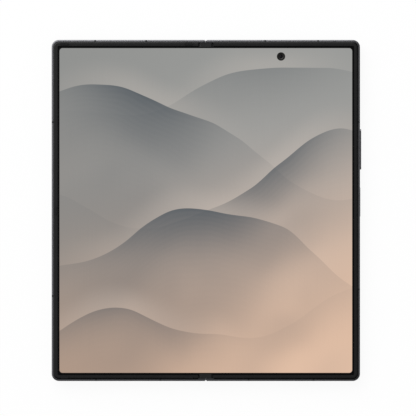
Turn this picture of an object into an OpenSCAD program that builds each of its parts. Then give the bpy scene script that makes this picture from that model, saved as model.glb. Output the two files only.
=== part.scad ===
// Book-style folding phone, laid open on its back with the display up.
// X runs across the two halves, Y along the hinge and Z up through the display.
// The origin lies below the middle of the hinge, on the surface that the camera rings rest on.
// Each half turns about an axis of its own, which the spine's arc-shaped tracks set.

/* [Body] */
// Width across both halves when open, without the keys
open_w = 143.2; // [142:0.1:145]
// Height of the phone along the hinge
phone_h = 158.4; // [157:0.1:161]
// Thickness of one half, from its back to the top of its bezel
half_t = 4.2; // [4.2:0.02:4.3]
// Corner radius of the outline
corner_r = 3.4; // [3:0.1:4.5]
// Radius of the metal rim's rounded edges
edge_r = 0.6; // [0.3:0.05:0.6]
// Thickness of the rim's wall, as seen round the bezel
rim_w = 0.95; // [0.85:0.05:1.1]
// Step from the top of the bezel down to the rim
rim_drop = 0.15; // [0.1:0.05:0.2]
// Thickness of the plate under the display
midplate_t = 0.36; // [0.3:0.02:0.4]
// Thickness of the glass on each back
glass_t = 0.55; // [0.5:0.05:0.6]
// Width of the ledge that carries the back glass
ledge_w = 1.3; // [1:0.1:1.6]
// Width of the metal strip along the seam on each back
seam_strip_w = 1.1; // [1:0.1:1.4]

/* [Display] */
// Width of the bezel round the folding display
bezel_w = 1.85; // [1.6:0.05:2.1]
// Height of the bezel's lip above the display
bezel_lip = 0.28; // [0.2:0.02:0.3]
// Thickness of the folding display's layers
panel_t = 0.34; // [0.3:0.02:0.36]
// Thickness of the metal plate that backs each flat side of the display
backing_t = 0.12; // [0.1:0.01:0.14]
// Distance from the seam at which the display is no longer bonded down
fold_half_w = 4; // [3.8:0.1:4.4]
// Distance from the seam at which the bezels end
bezel_end_x = 3.5; // [3.5:0.1:3.7]
// Diameter of the display's camera hole
punch_d = 3.9; // [3.6:0.1:4.2]
// Distance of the camera hole from the middle of its half, towards the seam
punch_shift = 0.9; // [0:0.1:2]
// Distance of the camera hole from the top edge
punch_edge = 7.7; // [7.5:0.1:8.2]
// Diameter of the cover display's camera window
cover_camera_d = 4; // [3.6:0.1:4.4]
// Distance of the cover camera from the top edge
cover_camera_edge = 8.2; // [8:0.1:8.6]
// Width of the cover camera's housing
cover_camera_w = 6; // [5.5:0.1:6.2]
// Thickness of the cover display under its glass
cover_display_t = 0.65; // [0.5:0.05:0.7]

/* [Hinge] */
// Gap left between the bezels when the phone is shut
shut_gap = 0.5; // [0.4:0.02:0.56]
// Width of the crown on the plugs at the ends of the hinge
cap_crown_w = 5.4; // [5:0.1:6]
// Corner radius of the halves where they meet at the seam
seam_corner_r = 0.8; // [0.5:0.1:1]
// Width of the flat along the back of the spine
spine_flat = 2.15; // [2.1:0.05:2.2]
// Outer radius of the spine's rounded sides
spine_r = 2.275; // [2.25:0.005:2.3]
// Thickness of the spine's shell
spine_wall = 0.255; // [0.24:0.005:0.27]
// Clearance between the spine and the halves that turn round it
spine_gap = 0.2; // [0.18:0.01:0.22]
// Gap at the seam between the two backs
seam_gap = 0.1; // [0.08:0.01:0.14]
// Distance of the two outer hinge modules from the middle
module_y = 50; // [44:1:52]
// Length of an outer hinge module along the seam
module_len = 18; // [17:0.5:20]
// Length of the middle hinge module along the seam
middle_len = 9; // [8:0.5:10]
// Radial thickness of a rotator's curved tongue
tongue_t = 0.37; // [0.3:0.01:0.4]
// Radius of the holes that the rotator screws pass through
screw_r = 0.4; // [0.35:0.05:0.5]
// Radius of a rotator screw's head
screw_head_r = 0.75; // [0.65:0.05:0.85]

/* [Gears] */
// Module of the gear teeth
gear_m = 0.11; // [0.1:0.005:0.112]
// Teeth that a full turn of an arm gear would have
arm_teeth = 15; // [15:1:15]
// Teeth of an idler gear
idler_teeth = 10; // [10:1:10]
// Width of the gears along the seam
gear_w = 1.4; // [1:0.1:1.8]
// Radius of the shafts in the arm gears
arm_shaft_r = 0.2; // [0.15:0.01:0.24]
// Radius of the shafts in the idler gears
idler_shaft_r = 0.15; // [0.12:0.01:0.16]
// Running clearance round every shaft
run_gap = 0.02; // [0.02:0.01:0.04]
// Width of a synchronising arm
arm_w = 3; // [2.4:0.1:3.4]
// Reach of a synchronising arm from the seam
arm_reach = 9.5; // [8.5:0.1:10.5]

/* [Camera island] */
// Width of the island
island_w = 18.5; // [17.5:0.1:20]
// Distance from the outer lenses' middles to the island's ends
island_end = 10.5; // [10:0.1:11.5]
// Height of the island above the back glass
island_h = 1; // [0.8:0.05:1.2]
// Distance of the island's middle line from the outer edge
island_side = 13.6; // [13:0.1:15]
// Distance of the island's middle from the top edge
island_edge = 37.2; // [36:0.1:40]
// Height of the lens rings above the island
ring_h = 1.2; // [1:0.05:1.4]
// Outer radius of a lens ring
ring_r = 7.6; // [7:0.1:8]
// Radius of the glass in a lens ring
lens_r = 5.6; // [5:0.1:6]
// Distance from lens to lens
lens_pitch = 17; // [16.5:0.1:17.5]
// Radius of a camera's barrel
barrel_r = 4.6; // [4:0.1:4.8]
// Width of a camera's square housing
camera_w = 11.4; // [10.5:0.1:11.6]
// Radius of the flash window
flash_r = 2.4; // [2:0.1:2.8]
// Distance of the flash from the island's middle line
flash_offset = 13.5; // [12.5:0.1:14]

/* [Keys and ports] */
// Height of the slots that the keys stand in
key_h = 1.9; // [1.7:0.05:2]
// Length of the volume rocker
rocker_len = 18.8; // [17:0.1:20]
// Height of the volume rocker's middle above the phone's middle
rocker_y = 28.4; // [26:0.1:30]
// Distance that the volume rocker stands out of the rim
rocker_out = 0.6; // [0.4:0.05:0.7]
// Length of the side key
side_key_len = 13.5; // [12:0.1:15]
// Height of the side key's middle above the phone's middle
side_key_y = 3.9; // [2:0.1:5]
// Distance that the side key stands out of the rim
side_key_out = 0.2; // [0.15:0.05:0.3]
// Clearance round a key in its slot
key_gap = 0.1; // [0.08:0.01:0.14]
// Radius of the softened edges of the keys
key_edge_r = 0.25; // [0.15:0.05:0.3]
// Width of the socket's mouth
socket_w = 8.34; // [8.3:0.02:8.4]
// Height of the socket's mouth
socket_h = 2.56; // [2.5:0.02:2.6]
// Wall of the socket's shell
socket_wall = 0.12; // [0.1:0.01:0.14]
// Depth of the socket
socket_len = 7.2; // [6.8:0.1:7.6]
// Width of the card tray
tray_w = 10.5; // [10:0.1:11]
// Length of the card tray behind its face
tray_len = 15; // [14:0.1:16]
// Thickness of the card tray
tray_t = 0.8; // [0.7:0.05:0.9]
// Length of the card tray's face along the rim
tray_face_len = 14.6; // [13.5:0.1:15]
// Distance of the card tray's middle from the top edge
tray_edge = 29.2; // [26:0.1:32]

/* [Inside] */
// Distance from the seam at which the pieces in the bays start
parts_x = 13; // [12.5:0.1:14]
// Height of the bay for the socket and the loudspeaker, from the bottom edge
port_bay_h = 20.2; // [19:0.1:22]
// Width of the port board
port_board_w = 36; // [33:0.5:38]
// Height of the port board
port_board_h = 15; // [14:0.5:16]
// Length of the bottom loudspeaker
speaker_len = 20; // [18:0.5:22]
// Depth of the bottom loudspeaker
speaker_depth = 8.6; // [8:0.1:9]
// Length of the top loudspeaker
top_speaker_len = 16; // [14:0.5:18]
// Depth of the top loudspeaker
top_speaker_depth = 6; // [5:0.1:6.5]
// Distance between the holes of a loudspeaker
hole_pitch = 1.4; // [1.2:0.05:1.6]
// Width of the vibration motor
motor_w = 7.5; // [6.5:0.1:8]
// Length of the vibration motor
motor_len = 12; // [10:0.5:13]
// Gap between the left board and the card reader
reader_gap = 3.6; // [3:0.1:4]
// Width of a magnet
magnet_w = 1.8; // [1.6:0.1:2]
// Length of a magnet
magnet_len = 9; // [8:0.5:10]
// Distance of the lowest magnet from the bottom edge
magnet_edge = 29.2; // [28:0.1:31]
// Distance from magnet to magnet
magnet_pitch = 22; // [20:0.5:24]
// Thickness of the batteries
battery_t = 1.8; // [1.6:0.05:1.85]
// Thickness of the circuit boards
board_t = 0.5; // [0.4:0.05:0.6]
// Height of the shield cans on the boards
shield_h = 0.9; // [0.7:0.05:1]
// Clearance between the pieces that lie in the bays
bay_gap = 0.3; // [0.2:0.05:0.4]
// Turns of the charging coil
coil_turns = 9; // [7:1:10]
// Width of the charging coil's wire
coil_wire = 0.9; // [0.8:0.05:1]
// Distance from turn to turn of the charging coil
coil_pitch = 1.4; // [1.35:0.05:1.5]

/* [Hidden] */
$fn = 48;
tiny = 0.01;
big = 200;

// Levels, from the surface that the phone lies on
back_z = island_h + ring_h;
top_z = back_z + half_t;
rim_z = top_z - rim_drop;
panel_top = top_z - bezel_lip;
panel_z = panel_top - panel_t;
shelf_z = panel_z - backing_t;
midplate_z = shelf_z - midplate_t;
bay_z = back_z + glass_t;

// Outline of one half, measured from the seam
half_w = open_w / 2;
half_h = phone_h / 2;
seam_x = seam_gap / 2;

// Axes that the halves turn about
pivot_x = spine_flat / 2;
pivot_z = top_z - pivot_x + shut_gap / 2;
spine_in_r = spine_r - spine_wall;
sweep_r = spine_r + spine_gap;
spine_edge_z = pivot_z - 0.675;
ledge_z = pivot_z - sweep_r;
seam_wall_t = 1.2;
spine_half_h = half_h - seam_wall_t - spine_gap;
wing_x = 3.6;
wing_wall = 0.6;
bay_x = wing_x + wing_wall;

// Display and bezel
panel_inset = rim_w + 1;
bezel_fit = 0.02;
panel_fit = 0.05;
cap_y = spine_half_h - 1.9;
cap_half_w = bezel_end_x - 0.15;
cap_step_z = shelf_z;
punch_y = half_h - punch_edge;
cover_camera_y = half_h - cover_camera_edge;

// Gears: the arms turn parallel to the halves, so each arm axis keeps the
// half's own balance of offset and height
arm_x = pivot_x + 0.766;
arm_z = pivot_z - 0.766;
arm_gear_r = gear_m * arm_teeth / 2;
idler_r = gear_m * idler_teeth / 2;
idler_x = idler_r;
idler_z = arm_z - sqrt(pow(arm_gear_r + idler_r, 2) - pow(arm_x - idler_x, 2));
idler_dir = atan2(idler_z - arm_z, arm_x - idler_x);
tooth_out = 0.8 * gear_m;
tooth_in = gear_m;
arm_dip = (arm_x - pivot_x) * (sqrt(2) - 1);
arm_t = 0.36;
arm_top = shelf_z - 0.06;

// Hinge modules along the seam
modules_y = [module_y, -module_y];
flex_y = module_y / 2;
block_len = (module_len - 7.8) / 2;
block_y = (module_len - block_len) / 2;
tongue_out = spine_in_r - 0.05;
tongue_in = tongue_out - tongue_t;
groove_in = tongue_in - 0.03;
tongue_end = 305;
groove_end = tongue_end + 3;
block_r = spine_in_r - 0.02;
block_top = pivot_z - 0.275;
core_half_w = pivot_x + groove_in - 0.02;
channel_half_w = 1.45;
channel_z = back_z + 2.5;
rotator_len = 6.5;
tongue_len = 4;
middle_rotator_len = 5.4;
middle_tongue_len = 2.8;
rotator_reach = 11;
rotator_z = midplate_z - 0.44;
neck_z = spine_edge_z + 0.15;
screw_head_h = 0.3;

// Camera island
island_x = half_w - island_side;
island_len = 2 * (lens_pitch + island_end);
island_y = half_h - island_edge;
lens_ys = [island_y + lens_pitch, island_y, island_y - lens_pitch];
flash_x = island_x - flash_offset;

// Keys, socket and tray
key_z = (ledge_z + midplate_z) / 2;
wall_in = half_w - rim_w;
rocker_flange = 0.38;
flange_lip = 0.7;
flange_h = midplate_z - ledge_z - 0.1;
rocker_flange_x = wall_in - 0.65;
switch_x = wall_in - 1.45;
socket_r = socket_h / 2 + socket_wall;
socket_z = shelf_z - socket_r;
tray_y = half_h - tray_edge;
tray_z = back_z + 2;
tray_slot_h = 1.9;
tray_fit = 0.1;

// Antenna breaks: places along the top, bottom and side edges
break_w = 0.8;
right_top_breaks = [27.5, 52.1];
right_bottom_breaks = [19.8, 50];
right_side_breaks = [half_h - 38.2, 42.5 - half_h];
left_top_breaks = [27.7, 51.4];
left_bottom_breaks = [21.2, 51];
left_side_breaks = [half_h - 38.2, 39.5 - half_h];

// Bays
socket_x = half_w / 2;
punch_x = half_w / 2 - punch_shift;
speaker_x = socket_x + 6.4;
top_speaker_x = half_w / 2 + 13.2;
board_x1 = island_x - island_w / 2 - 1;
board_y0 = island_y - island_len / 2 - 0.5;
battery_x1 = half_w - 5;
battery_y0 = port_bay_h + 1 - half_h;
left_battery_top = board_y0 + 12;
left_board_y = left_battery_top + 2;
left_board_h = cover_camera_y - cover_camera_w / 2 - bay_gap - left_board_y;
reader_x = wall_in - tray_len - 2;
left_board_w = reader_x - reader_gap - parts_x;
port_board_x = socket_x - 11.8;
port_board_y = port_bay_h - 2 - port_board_h - half_h;
battery_z = midplate_z - battery_t;
board_z = back_z + 1.55;

// ---------------------------------------------------------------- helpers

// Draws a piece of the right half on the left half
module on_left() {
  mirror([1, 0, 0]) children();
}

// A flat outline raised from z0 to z1
module raise(z0, z1) {
  translate([0, 0, z0]) linear_extrude(z1 - z0) children();
}

// An outline in X and Z drawn out along the hinge, from y0 to y1
module along_hinge(y0, y1) {
  translate([0, y1, 0]) rotate([90, 0, 0]) linear_extrude(y1 - y0) children();
}

// Outline of one half from x0 to x1, with rounded outer corners
module half_outline(x0, x1, half_y, r) {
  translate([x0, r - half_y]) square([x1 - x0, 2 * (half_y - r)]);
  translate([x0, -half_y]) square([x1 - r - x0, 2 * half_y]);
  for (s = [-1, 1]) translate([x1 - r, s * (half_y - r)]) circle(r);
}

// Outline inset from the outer edges by u, starting at x0
module inset_outline(x0, u) {
  half_outline(x0, half_w - u, half_h - u, max(corner_r - u, 0.3));
}

// Round-cornered rectangle about its middle
module round_rect(w, h, r) {
  square([w - 2 * r, h], center = true);
  square([w, h - 2 * r], center = true);
  for (x = [-1, 1], y = [-1, 1]) translate([x * (w / 2 - r), y * (h / 2 - r)]) circle(r);
}

// Slot with round ends: length along X, height along Y
module slot_outline(len, h) {
  square([len - h, h], center = true);
  for (s = [-1, 1]) translate([s * (len - h) / 2, 0]) circle(d = h);
}

// Section of the rim, square inside and rounded outside
module rim_section(w, t, r) {
  difference() {
    square([w, t]);
    translate([w - r, 0]) edge_waste(r);
    translate([w - r, t]) mirror([0, 1]) edge_waste(r);
  }
}

// What a rounded edge takes off a square corner
module edge_waste(r) {
  difference() {
    translate([0, -tiny]) square([r + tiny, r + tiny]);
    translate([0, r]) circle(r);
  }
}

// One half as a solid slab with rounded rim edges
module half_slab(x0, z0, z1) {
  t = z1 - z0;
  w = corner_r;
  x1 = half_w - w;
  y1 = half_h - w;
  translate([x0, -y1, z0]) cube([x1 - x0, 2 * y1, t]);
  for (s = [0, 1]) mirror([0, s, 0]) {
    translate([x0, y1, z0]) rotate([90, 0, 90]) linear_extrude(x1 - x0) rim_section(w, t, edge_r);
    translate([x1, y1, z0]) rotate_extrude(angle = 90) rim_section(w, t, edge_r);
  }
  translate([x1, y1, z0]) rotate([90, 0, 0]) linear_extrude(2 * y1) rim_section(w, t, edge_r);
}

// Section of the spine: a flat back between two quarter rounds about the pivots
module spine_section(r) {
  for (s = [-1, 1]) translate([s * pivot_x, pivot_z]) circle(r);
  translate([-pivot_x, pivot_z - r]) square([2 * pivot_x, 2 * r]);
}

// Everything in X and Z below the height z
module below(z) {
  translate([-big / 2, z - big]) square([big, big]);
}

// A wedge about the origin from angle a0 to a1, under half a turn
module wedge(r, a0, a1) {
  steps = 6;
  rim = [for (i = [0:steps]) let (a = a0 + (a1 - a0) * i / steps) [r * cos(a), r * sin(a)]];
  polygon(concat([[0, 0]], rim));
}

// Teeth of a spur gear, one every pitch angle from angle a0 to a1
module teeth(pitch_r, count, phase, a0, a1) {
  step = 360 / count;
  half_pitch = 0.44 * 180 / count;
  for (i = [0:count - 1])
    let (a = phase + i * step, b = a - 360 * floor((a - a0) / 360))
      if (b <= a1) rotate(b) tooth(pitch_r, half_pitch);
}

// One tooth on the X axis: wide at its root, narrow at its tip
module tooth(pitch_r, half_angle) {
  root = pitch_r - tooth_in - 0.03;
  tip = pitch_r + tooth_out;
  w = pitch_r * sin(half_angle);
  polygon([[root, -1.45 * w], [pitch_r, -w], [tip, -0.4 * w], [tip, 0.4 * w], [pitch_r, w], [root, 1.45 * w]]);
}

// Angle of a gap of one gear that receives a tooth of its neighbour,
// given the direction to the neighbour and how far the neighbour's tooth is past it
function mesh_gap(dir, lag, r_from, r_to) = dir - lag * r_from / r_to;

// ---------------------------------------------------------------- halves

// What the frames of both halves share
module half_frame() {
  difference() {
    half_slab(seam_x, back_z, rim_z);
    // recess for the display and its backing
    raise(shelf_z, top_z) inset_outline(wing_x, rim_w);
    // bay between the back glass and the midplate
    raise(ledge_z, midplate_z) inset_outline(bay_x, rim_w);
    raise(back_z - 1, ledge_z + tiny) inset_outline(bay_x + 1, rim_w + ledge_w);
    // recess for the glass
    raise(back_z - 1, bay_z) inset_outline(seam_x + seam_strip_w, rim_w);
    seam_clearance();
    for (y = modules_y) translate([0, y, 0]) module_openings();
    middle_openings();
    flex_pockets();
    screw_holes();
  }
}

// Room for the spine, and the ends of the rim that roll past each other
module seam_clearance() {
  h = half_h - seam_wall_t;
  along_hinge(-h, h) {
    translate([pivot_x, pivot_z]) circle(sweep_r);
    translate([-tiny, ledge_z]) square([pivot_x + tiny, big / 10]);
    translate([0, pivot_z - 0.7]) square([wing_x, big / 10]);
  }
  nose_r = pivot_x - 0.03;
  along_hinge(-half_h - 1, half_h + 1) difference() {
    translate([-tiny, pivot_z]) square([pivot_x + tiny, big / 10]);
    translate([pivot_x, pivot_z]) circle(nose_r);
  }
  for (s = [0, 1]) mirror([0, s, 0]) raise(back_z - 1, top_z) difference() {
    translate([seam_x - tiny, half_h - seam_corner_r]) square([seam_corner_r + tiny, seam_corner_r + tiny]);
    translate([seam_x + seam_corner_r, half_h - seam_corner_r]) circle(seam_corner_r);
  }
}

// Openings in the midplate for one outer hinge module
module module_openings() {
  gap = 0.2;
  // the sliding arm, which also dips while the half turns
  translate([wing_x - 1, -arm_w / 2 - gap, midplate_z - arm_dip - 0.2])
    cube([arm_reach + gap - wing_x + 1, arm_w + 2 * gap, big / 10]);
  for (s = [-1, 1]) neck_opening(s * (module_len / 2 - rotator_len / 2 + 0.5), rotator_len);
}

module middle_openings() {
  for (s = [-1, 1]) neck_opening(s * (middle_rotator_len / 2 + 0.3), middle_rotator_len);
}

// Opening in the wing wall for a rotator's neck and plate
module neck_opening(y, len) {
  translate([wing_x - 1, y - len / 2 - 0.1, rotator_z]) cube([1.8 + 0.1, len + 0.2, big / 10]);
}

// Recesses for the ribbon that crosses the hinge
module flex_pockets() {
  for (y = [-flex_y, flex_y]) translate([wing_x - tiny, y - 4.3, shelf_z - 0.16]) cube([4.2, 8.6, 1]);
}

// Places of the rotator screws on the own side of the seam, s is +1 right and -1 left
function screw_places(s) = concat(
  [for (m = modules_y, x = [6, 9.3]) [x, m + s * -(module_len / 2 - rotator_len / 2 + 0.5)]],
  [for (x = [6, 9.3]) [x, s * -(middle_rotator_len / 2 + 0.3)]]);

module screw_holes() {
  for (s = [-1, 1], p = screw_places(s)) translate([p[0], p[1], 0]) {
    translate([0, 0, midplate_z - 1]) cylinder(r = screw_r, h = 3);
    translate([0, 0, shelf_z - screw_head_h]) cylinder(r = screw_head_r, h = 1);
  }
}

// Blocks that cut the rim at the antenna breaks, top and bottom places along X, side places along Y
module break_blocks(top, bottom, side, depth) {
  for (x = top) translate([x - break_w / 2, half_h - depth, back_z - 1]) cube([break_w, depth + 1, half_t + 2]);
  for (x = bottom) translate([x - break_w / 2, -half_h - 1, back_z - 1]) cube([break_w, depth + 1, half_t + 2]);
  for (y = side) translate([half_w - depth, y - break_w / 2, back_z - 1]) cube([depth + 1, break_w, half_t + 2]);
}

module rim_breaks(top, bottom, side) {
  intersection() {
    half_slab(seam_x, back_z, rim_z);
    break_blocks(top, bottom, side, rim_w);
  }
}

module right_frame() {
  color("dimgray") difference() {
    half_frame();
    break_blocks(right_top_breaks, right_bottom_breaks, right_side_breaks, rim_w);
    key_slot(rocker_y, rocker_len);
    key_slot(side_key_y, side_key_len);
    socket_bore();
    speaker_holes();
    // inner camera
    translate([punch_x, punch_y, midplate_z - 1]) cylinder(d = punch_d + 1.4, h = 3);
  }
}

module key_slot(y, len) {
  translate([wall_in - 1, y, key_z]) rotate([90, 0, 90])
    linear_extrude(rim_w + 2) slot_outline(len + 2 * key_gap, key_h + 2 * key_gap, $fn = 32);
}

// Hole through the bottom wall that the socket fills
module socket_bore() {
  translate([socket_x, -half_h - 1, socket_z]) rotate([-90, 0, 0])
    linear_extrude(socket_len + 1.3) slot_outline(socket_w + 2 * socket_wall, 2 * socket_r);
}

// Round holes for the loudspeaker and the microphones
module speaker_holes() {
  for (i = [0:4]) wall_hole(speaker_x + 0.9 + hole_pitch * i, -half_h, 0.45);
  wall_hole(socket_x - 8.8, -half_h, 0.35);
  wall_hole(half_w / 2, half_h, 0.35);
}

// A round hole through the top or bottom wall, y being the wall's outer face
module wall_hole(x, y, r) {
  translate([x, y - rim_w - 1, key_z]) rotate([-90, 0, 0]) cylinder(r = r, h = 2 * rim_w + 2);
}

module left_frame() {
  color("dimgray") on_left() difference() {
    half_frame();
    break_blocks(left_top_breaks, left_bottom_breaks, left_side_breaks, rim_w);
    // card tray
    translate([wall_in - 1, tray_y, tray_z]) rotate([90, 0, 90])
      linear_extrude(rim_w + 2) slot_outline(tray_face_len + 2 * tray_fit, tray_slot_h + 2 * tray_fit);
    // top loudspeaker and microphone
    for (i = [-2:2]) wall_hole(top_speaker_x + hole_pitch * i, half_h, 0.45);
    wall_hole(half_w / 2 - 6, -half_h, 0.35);
  }
}

// Bezel of one half: a lip over the display's border and a foot on the shelf
module bezel() {
  color([0.13, 0.13, 0.14]) {
    difference() {
      union() {
        raise(panel_top + 0.02, top_z) inset_outline(bezel_end_x, rim_w + bezel_fit);
        raise(shelf_z, panel_top + 0.03) inset_outline(wing_x, rim_w + bezel_fit);
      }
      raise(shelf_z - 1, top_z + 1) inset_outline(0, rim_w + bezel_w);
      raise(shelf_z - 1, panel_top + 0.02) inset_outline(0, panel_inset - panel_fit);
    }
  }
}

module right_bezel() {
  bezel();
}

module left_bezel() {
  on_left() bezel();
}

// Bonded side of the display, with tabs past the hinge caps that end below the bezel's ends
module display_side() {
  tab_w = fold_half_w - bezel_end_x + tiny;
  tab_h = half_h - panel_inset - cap_y;
  raise(panel_z, panel_top) {
    inset_outline(fold_half_w, panel_inset);
    for (y = [cap_y, -cap_y - tab_h]) translate([bezel_end_x, y]) square([tab_w, tab_h]);
  }
}

module display_right() {
  color([0.62, 0.6, 0.57]) difference() {
    display_side();
    translate([punch_x, punch_y, panel_z - 1]) cylinder(d = punch_d, h = 3);
  }
}

module display_left() {
  color([0.6, 0.6, 0.58]) on_left() display_side();
}

module backing_plate() {
  raise(shelf_z, panel_z) inset_outline(wing_x, panel_inset + 0.1);
}

module right_backing_plate() {
  color("silver") difference() {
    backing_plate();
    translate([punch_x, punch_y, shelf_z - 1]) cylinder(d = punch_d + 1.4, h = 3);
  }
}

module left_backing_plate() {
  color("silver") on_left() backing_plate();
}

// ---------------------------------------------------------------- backs

// Glass of one back, its outer edge rounded like the rim
module back_pane() {
  raise(back_z, bay_z) inset_outline(seam_x + seam_strip_w + 0.03, rim_w + 0.03);
}

module island_outline(grow) {
  round_rect(island_w + 2 * grow, island_len + 2 * grow, island_w / 2 + grow - tiny);
}

module back_glass() {
  color([0.08, 0.08, 0.09]) difference() {
    back_pane();
    raise(back_z - 1, bay_z + 1) translate([island_x, island_y]) island_outline(-0.8);
    translate([flash_x, island_y + lens_pitch, back_z - 1]) cylinder(r = flash_r + 0.03, h = 3);
  }
}

// Raised island with a collar that passes through the glass
module camera_island() {
  color([0.12, 0.12, 0.13]) difference() {
    translate([island_x, island_y]) {
      raise(back_z - island_h, back_z) island_outline(0);
      raise(back_z - tiny, bay_z + 0.3) island_outline(-0.85);
    }
    raise(back_z - island_h + 0.5, bay_z + 1) translate([island_x, island_y]) island_outline(-1.8);
    for (y = lens_ys) translate([island_x, y, 0]) cylinder(r = lens_r + 0.6, h = back_z + 1);
  }
}

// Ring round each lens, with a chamfered rim and a seat for its glass
module lens_rings() {
  color([0.3, 0.3, 0.32]) for (y = lens_ys) translate([island_x, y, 0]) rotate_extrude() polygon([
    [lens_r - 0.5, ring_h - 0.3], [lens_r, ring_h - 0.3], [lens_r, 0.15], [lens_r + 0.25, 0], [ring_r - 0.35, 0],
    [ring_r, 0.3], [ring_r, ring_h], [lens_r + 0.55, ring_h],
    [lens_r + 0.55, ring_h + 0.5], [lens_r - 0.5, ring_h + 0.5]]);
}

module lens_glasses() {
  color([0.03, 0.03, 0.05]) for (y = lens_ys)
    translate([island_x, y, 0.35]) cylinder(r = lens_r - 0.02, h = ring_h - 0.65);
}

// Lens barrel that looks down: baffles step in to a domed front element, in shares of its radius and depth
module lens_barrel(r, depth) {
  rotate_extrude() polygon([
    [0, depth], [r, depth], [r, 0], [0.9 * r, 0], [0.78 * r, 0.22 * depth], [0.78 * r, 0.36 * depth],
    [0.64 * r, 0.48 * depth], [0.64 * r, 0.62 * depth], [0.5 * r, 0.72 * depth], [0.38 * r, 0.58 * depth],
    [0.22 * r, 0.5 * depth], [0, 0.47 * depth]]);
}

// Camera: a stepped barrel on a square housing
module camera_modules() {
  color([0.1, 0.1, 0.11]) for (y = lens_ys) translate([island_x, y, 0]) {
    translate([0, 0, ring_h - 0.25]) lens_barrel(barrel_r, 1.2);
    translate([0, 0, back_z - 0.2]) linear_extrude(midplate_z - back_z + 0.2) round_rect(camera_w, camera_w, 1);
  }
}

module flash_lens() {
  color([0.9, 0.86, 0.7]) translate([flash_x, island_y + lens_pitch, back_z]) cylinder(r = flash_r, h = 1.1);
}

module cover_glass() {
  color([0.05, 0.05, 0.06]) on_left() difference() {
    back_pane();
    // slot for the earpiece
    translate([half_w / 2, half_h - rim_w - 1.6, back_z - 1]) linear_extrude(3) slot_outline(12.1, 0.6);
  }
}

module earpiece_mesh() {
  color([0.25, 0.25, 0.26]) on_left() translate([half_w / 2, half_h - rim_w - 1.6, back_z + 0.1])
    linear_extrude(0.44) slot_outline(12.04, 0.54);
}

cover_x0 = bay_x + 1.2;
cover_x1 = half_w - rim_w - ledge_w - 0.2;
cover_half_h = half_h - rim_w - ledge_w - 0.2;

module cover_display() {
  color([0.08, 0.08, 0.1]) on_left() difference() {
    raise(bay_z, bay_z + cover_display_t) half_outline(cover_x0, cover_x1, cover_half_h, 1);
    translate([half_w / 2, cover_camera_y, back_z]) cylinder(d = cover_camera_d + 0.1, h = 3);
  }
}

module cover_camera() {
  color([0.05, 0.05, 0.07]) on_left() translate([half_w / 2, cover_camera_y, 0]) {
    translate([0, 0, bay_z]) lens_barrel(cover_camera_d / 2, 1);
    translate([0, 0, bay_z + 0.75]) linear_extrude(midplate_z - bay_z - 0.75)
      round_rect(cover_camera_w, cover_camera_w, 0.5);
  }
}

// ---------------------------------------------------------------- inside the right half

module main_board_outline() {
  translate([parts_x, board_y0]) square([board_x1 - parts_x, half_h - 3 - board_y0]);
  translate([board_x1 - tiny, island_y + island_len / 2 + 0.5]) square([16, 5.2]);
}

module main_board() {
  color([0.05, 0.2, 0.14]) difference() {
    union() {
      raise(board_z, board_z + board_t) main_board_outline();
      // standoffs up to the midplate
      for (x = [parts_x + 1.5, board_x1 - 1.5], y = [board_y0 + 1.5, half_h - 13])
        translate([x, y, board_z]) cylinder(r = 1, h = midplate_z - board_z);
    }
    translate([punch_x, punch_y, board_z - 1]) cylinder(r = 3.4, h = 3);
    translate([flash_x, island_y + lens_pitch, board_z - 1]) cylinder(r = flash_r + 0.5, h = 2);
  }
}

// Shield cans on the back of the board: shallow boxes with rounded corners
module board_shields() {
  color([0.7, 0.7, 0.72]) {
    for (p = [[10, 34, 16, 22], [10, 10, 16, 17], [26.5, 8.5, 12, 14]])
      translate([parts_x + p[0], board_y0 + p[1], board_z - shield_h])
        linear_extrude(shield_h) round_rect(p[2], p[3], 0.6);
  }
}

module battery_block(x1, y0, y1) {
  raise(battery_z, midplate_z) translate([(parts_x + x1) / 2, (y0 + y1) / 2])
    round_rect(x1 - parts_x, y1 - y0, 1.2);
}

module right_battery() {
  color([0.16, 0.17, 0.2]) battery_block(battery_x1, battery_y0, board_y0 - 1);
}

// Socket: a drawn shell with a tongue inside
module usb_c_socket() {
  color([0.75, 0.75, 0.77]) translate([socket_x, -half_h + 0.05, socket_z]) rotate([-90, 0, 0]) {
    difference() {
      linear_extrude(socket_len) slot_outline(socket_w + 2 * socket_wall - 0.02, 2 * socket_r - 0.02);
      translate([0, 0, -1]) linear_extrude(socket_len) slot_outline(socket_w, socket_h);
    }
    translate([-3.35, -0.35, 1]) cube([6.7, 0.7, socket_len - 1.5]);
  }
}

module port_board() {
  color([0.05, 0.2, 0.14]) difference() {
    union() {
      raise(board_z, board_z + board_t) translate([port_board_x, port_board_y])
        square([port_board_w, port_board_h]);
      for (x = [2, port_board_w - 2]) translate([port_board_x + x, port_board_y + port_board_h - 2, board_z])
        cylinder(r = 1, h = midplate_z - board_z);
    }
    translate([socket_x - 5, -half_h - 1, board_z - 1]) cube([10, socket_len + 1.5, 3]);
    translate([speaker_x - bay_gap, -half_h - 1, board_z - 1])
      cube([big, 1 + rim_w + 0.1 + speaker_depth + bay_gap, 3]);
  }
}

// Loudspeaker: a sealed box with its round motor standing out of it
module speaker_box(len, depth) {
  raise(back_z + 1.2, midplate_z) translate([len / 2, depth / 2]) round_rect(len, depth, 0.8);
  translate([len - depth / 2 - 0.7, depth / 2, ledge_z + 0.05]) cylinder(r = depth / 2 - 0.9, h = 1);
}

module bottom_speaker() {
  color([0.14, 0.14, 0.15]) translate([speaker_x, -half_h + rim_w + 0.1, 0])
    speaker_box(speaker_len, speaker_depth);
}

module inner_camera() {
  color([0.05, 0.05, 0.07]) translate([punch_x, punch_y, 0]) {
    translate([0, 0, board_z - 0.4]) cylinder(r = 3.1, h = midplate_z - board_z + 0.4);
    translate([0, 0, panel_z + 0.1 - tiny]) mirror([0, 0, 1])
      lens_barrel(punch_d / 2 - 0.05, panel_z + 0.1 - midplate_z);
  }
}

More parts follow.
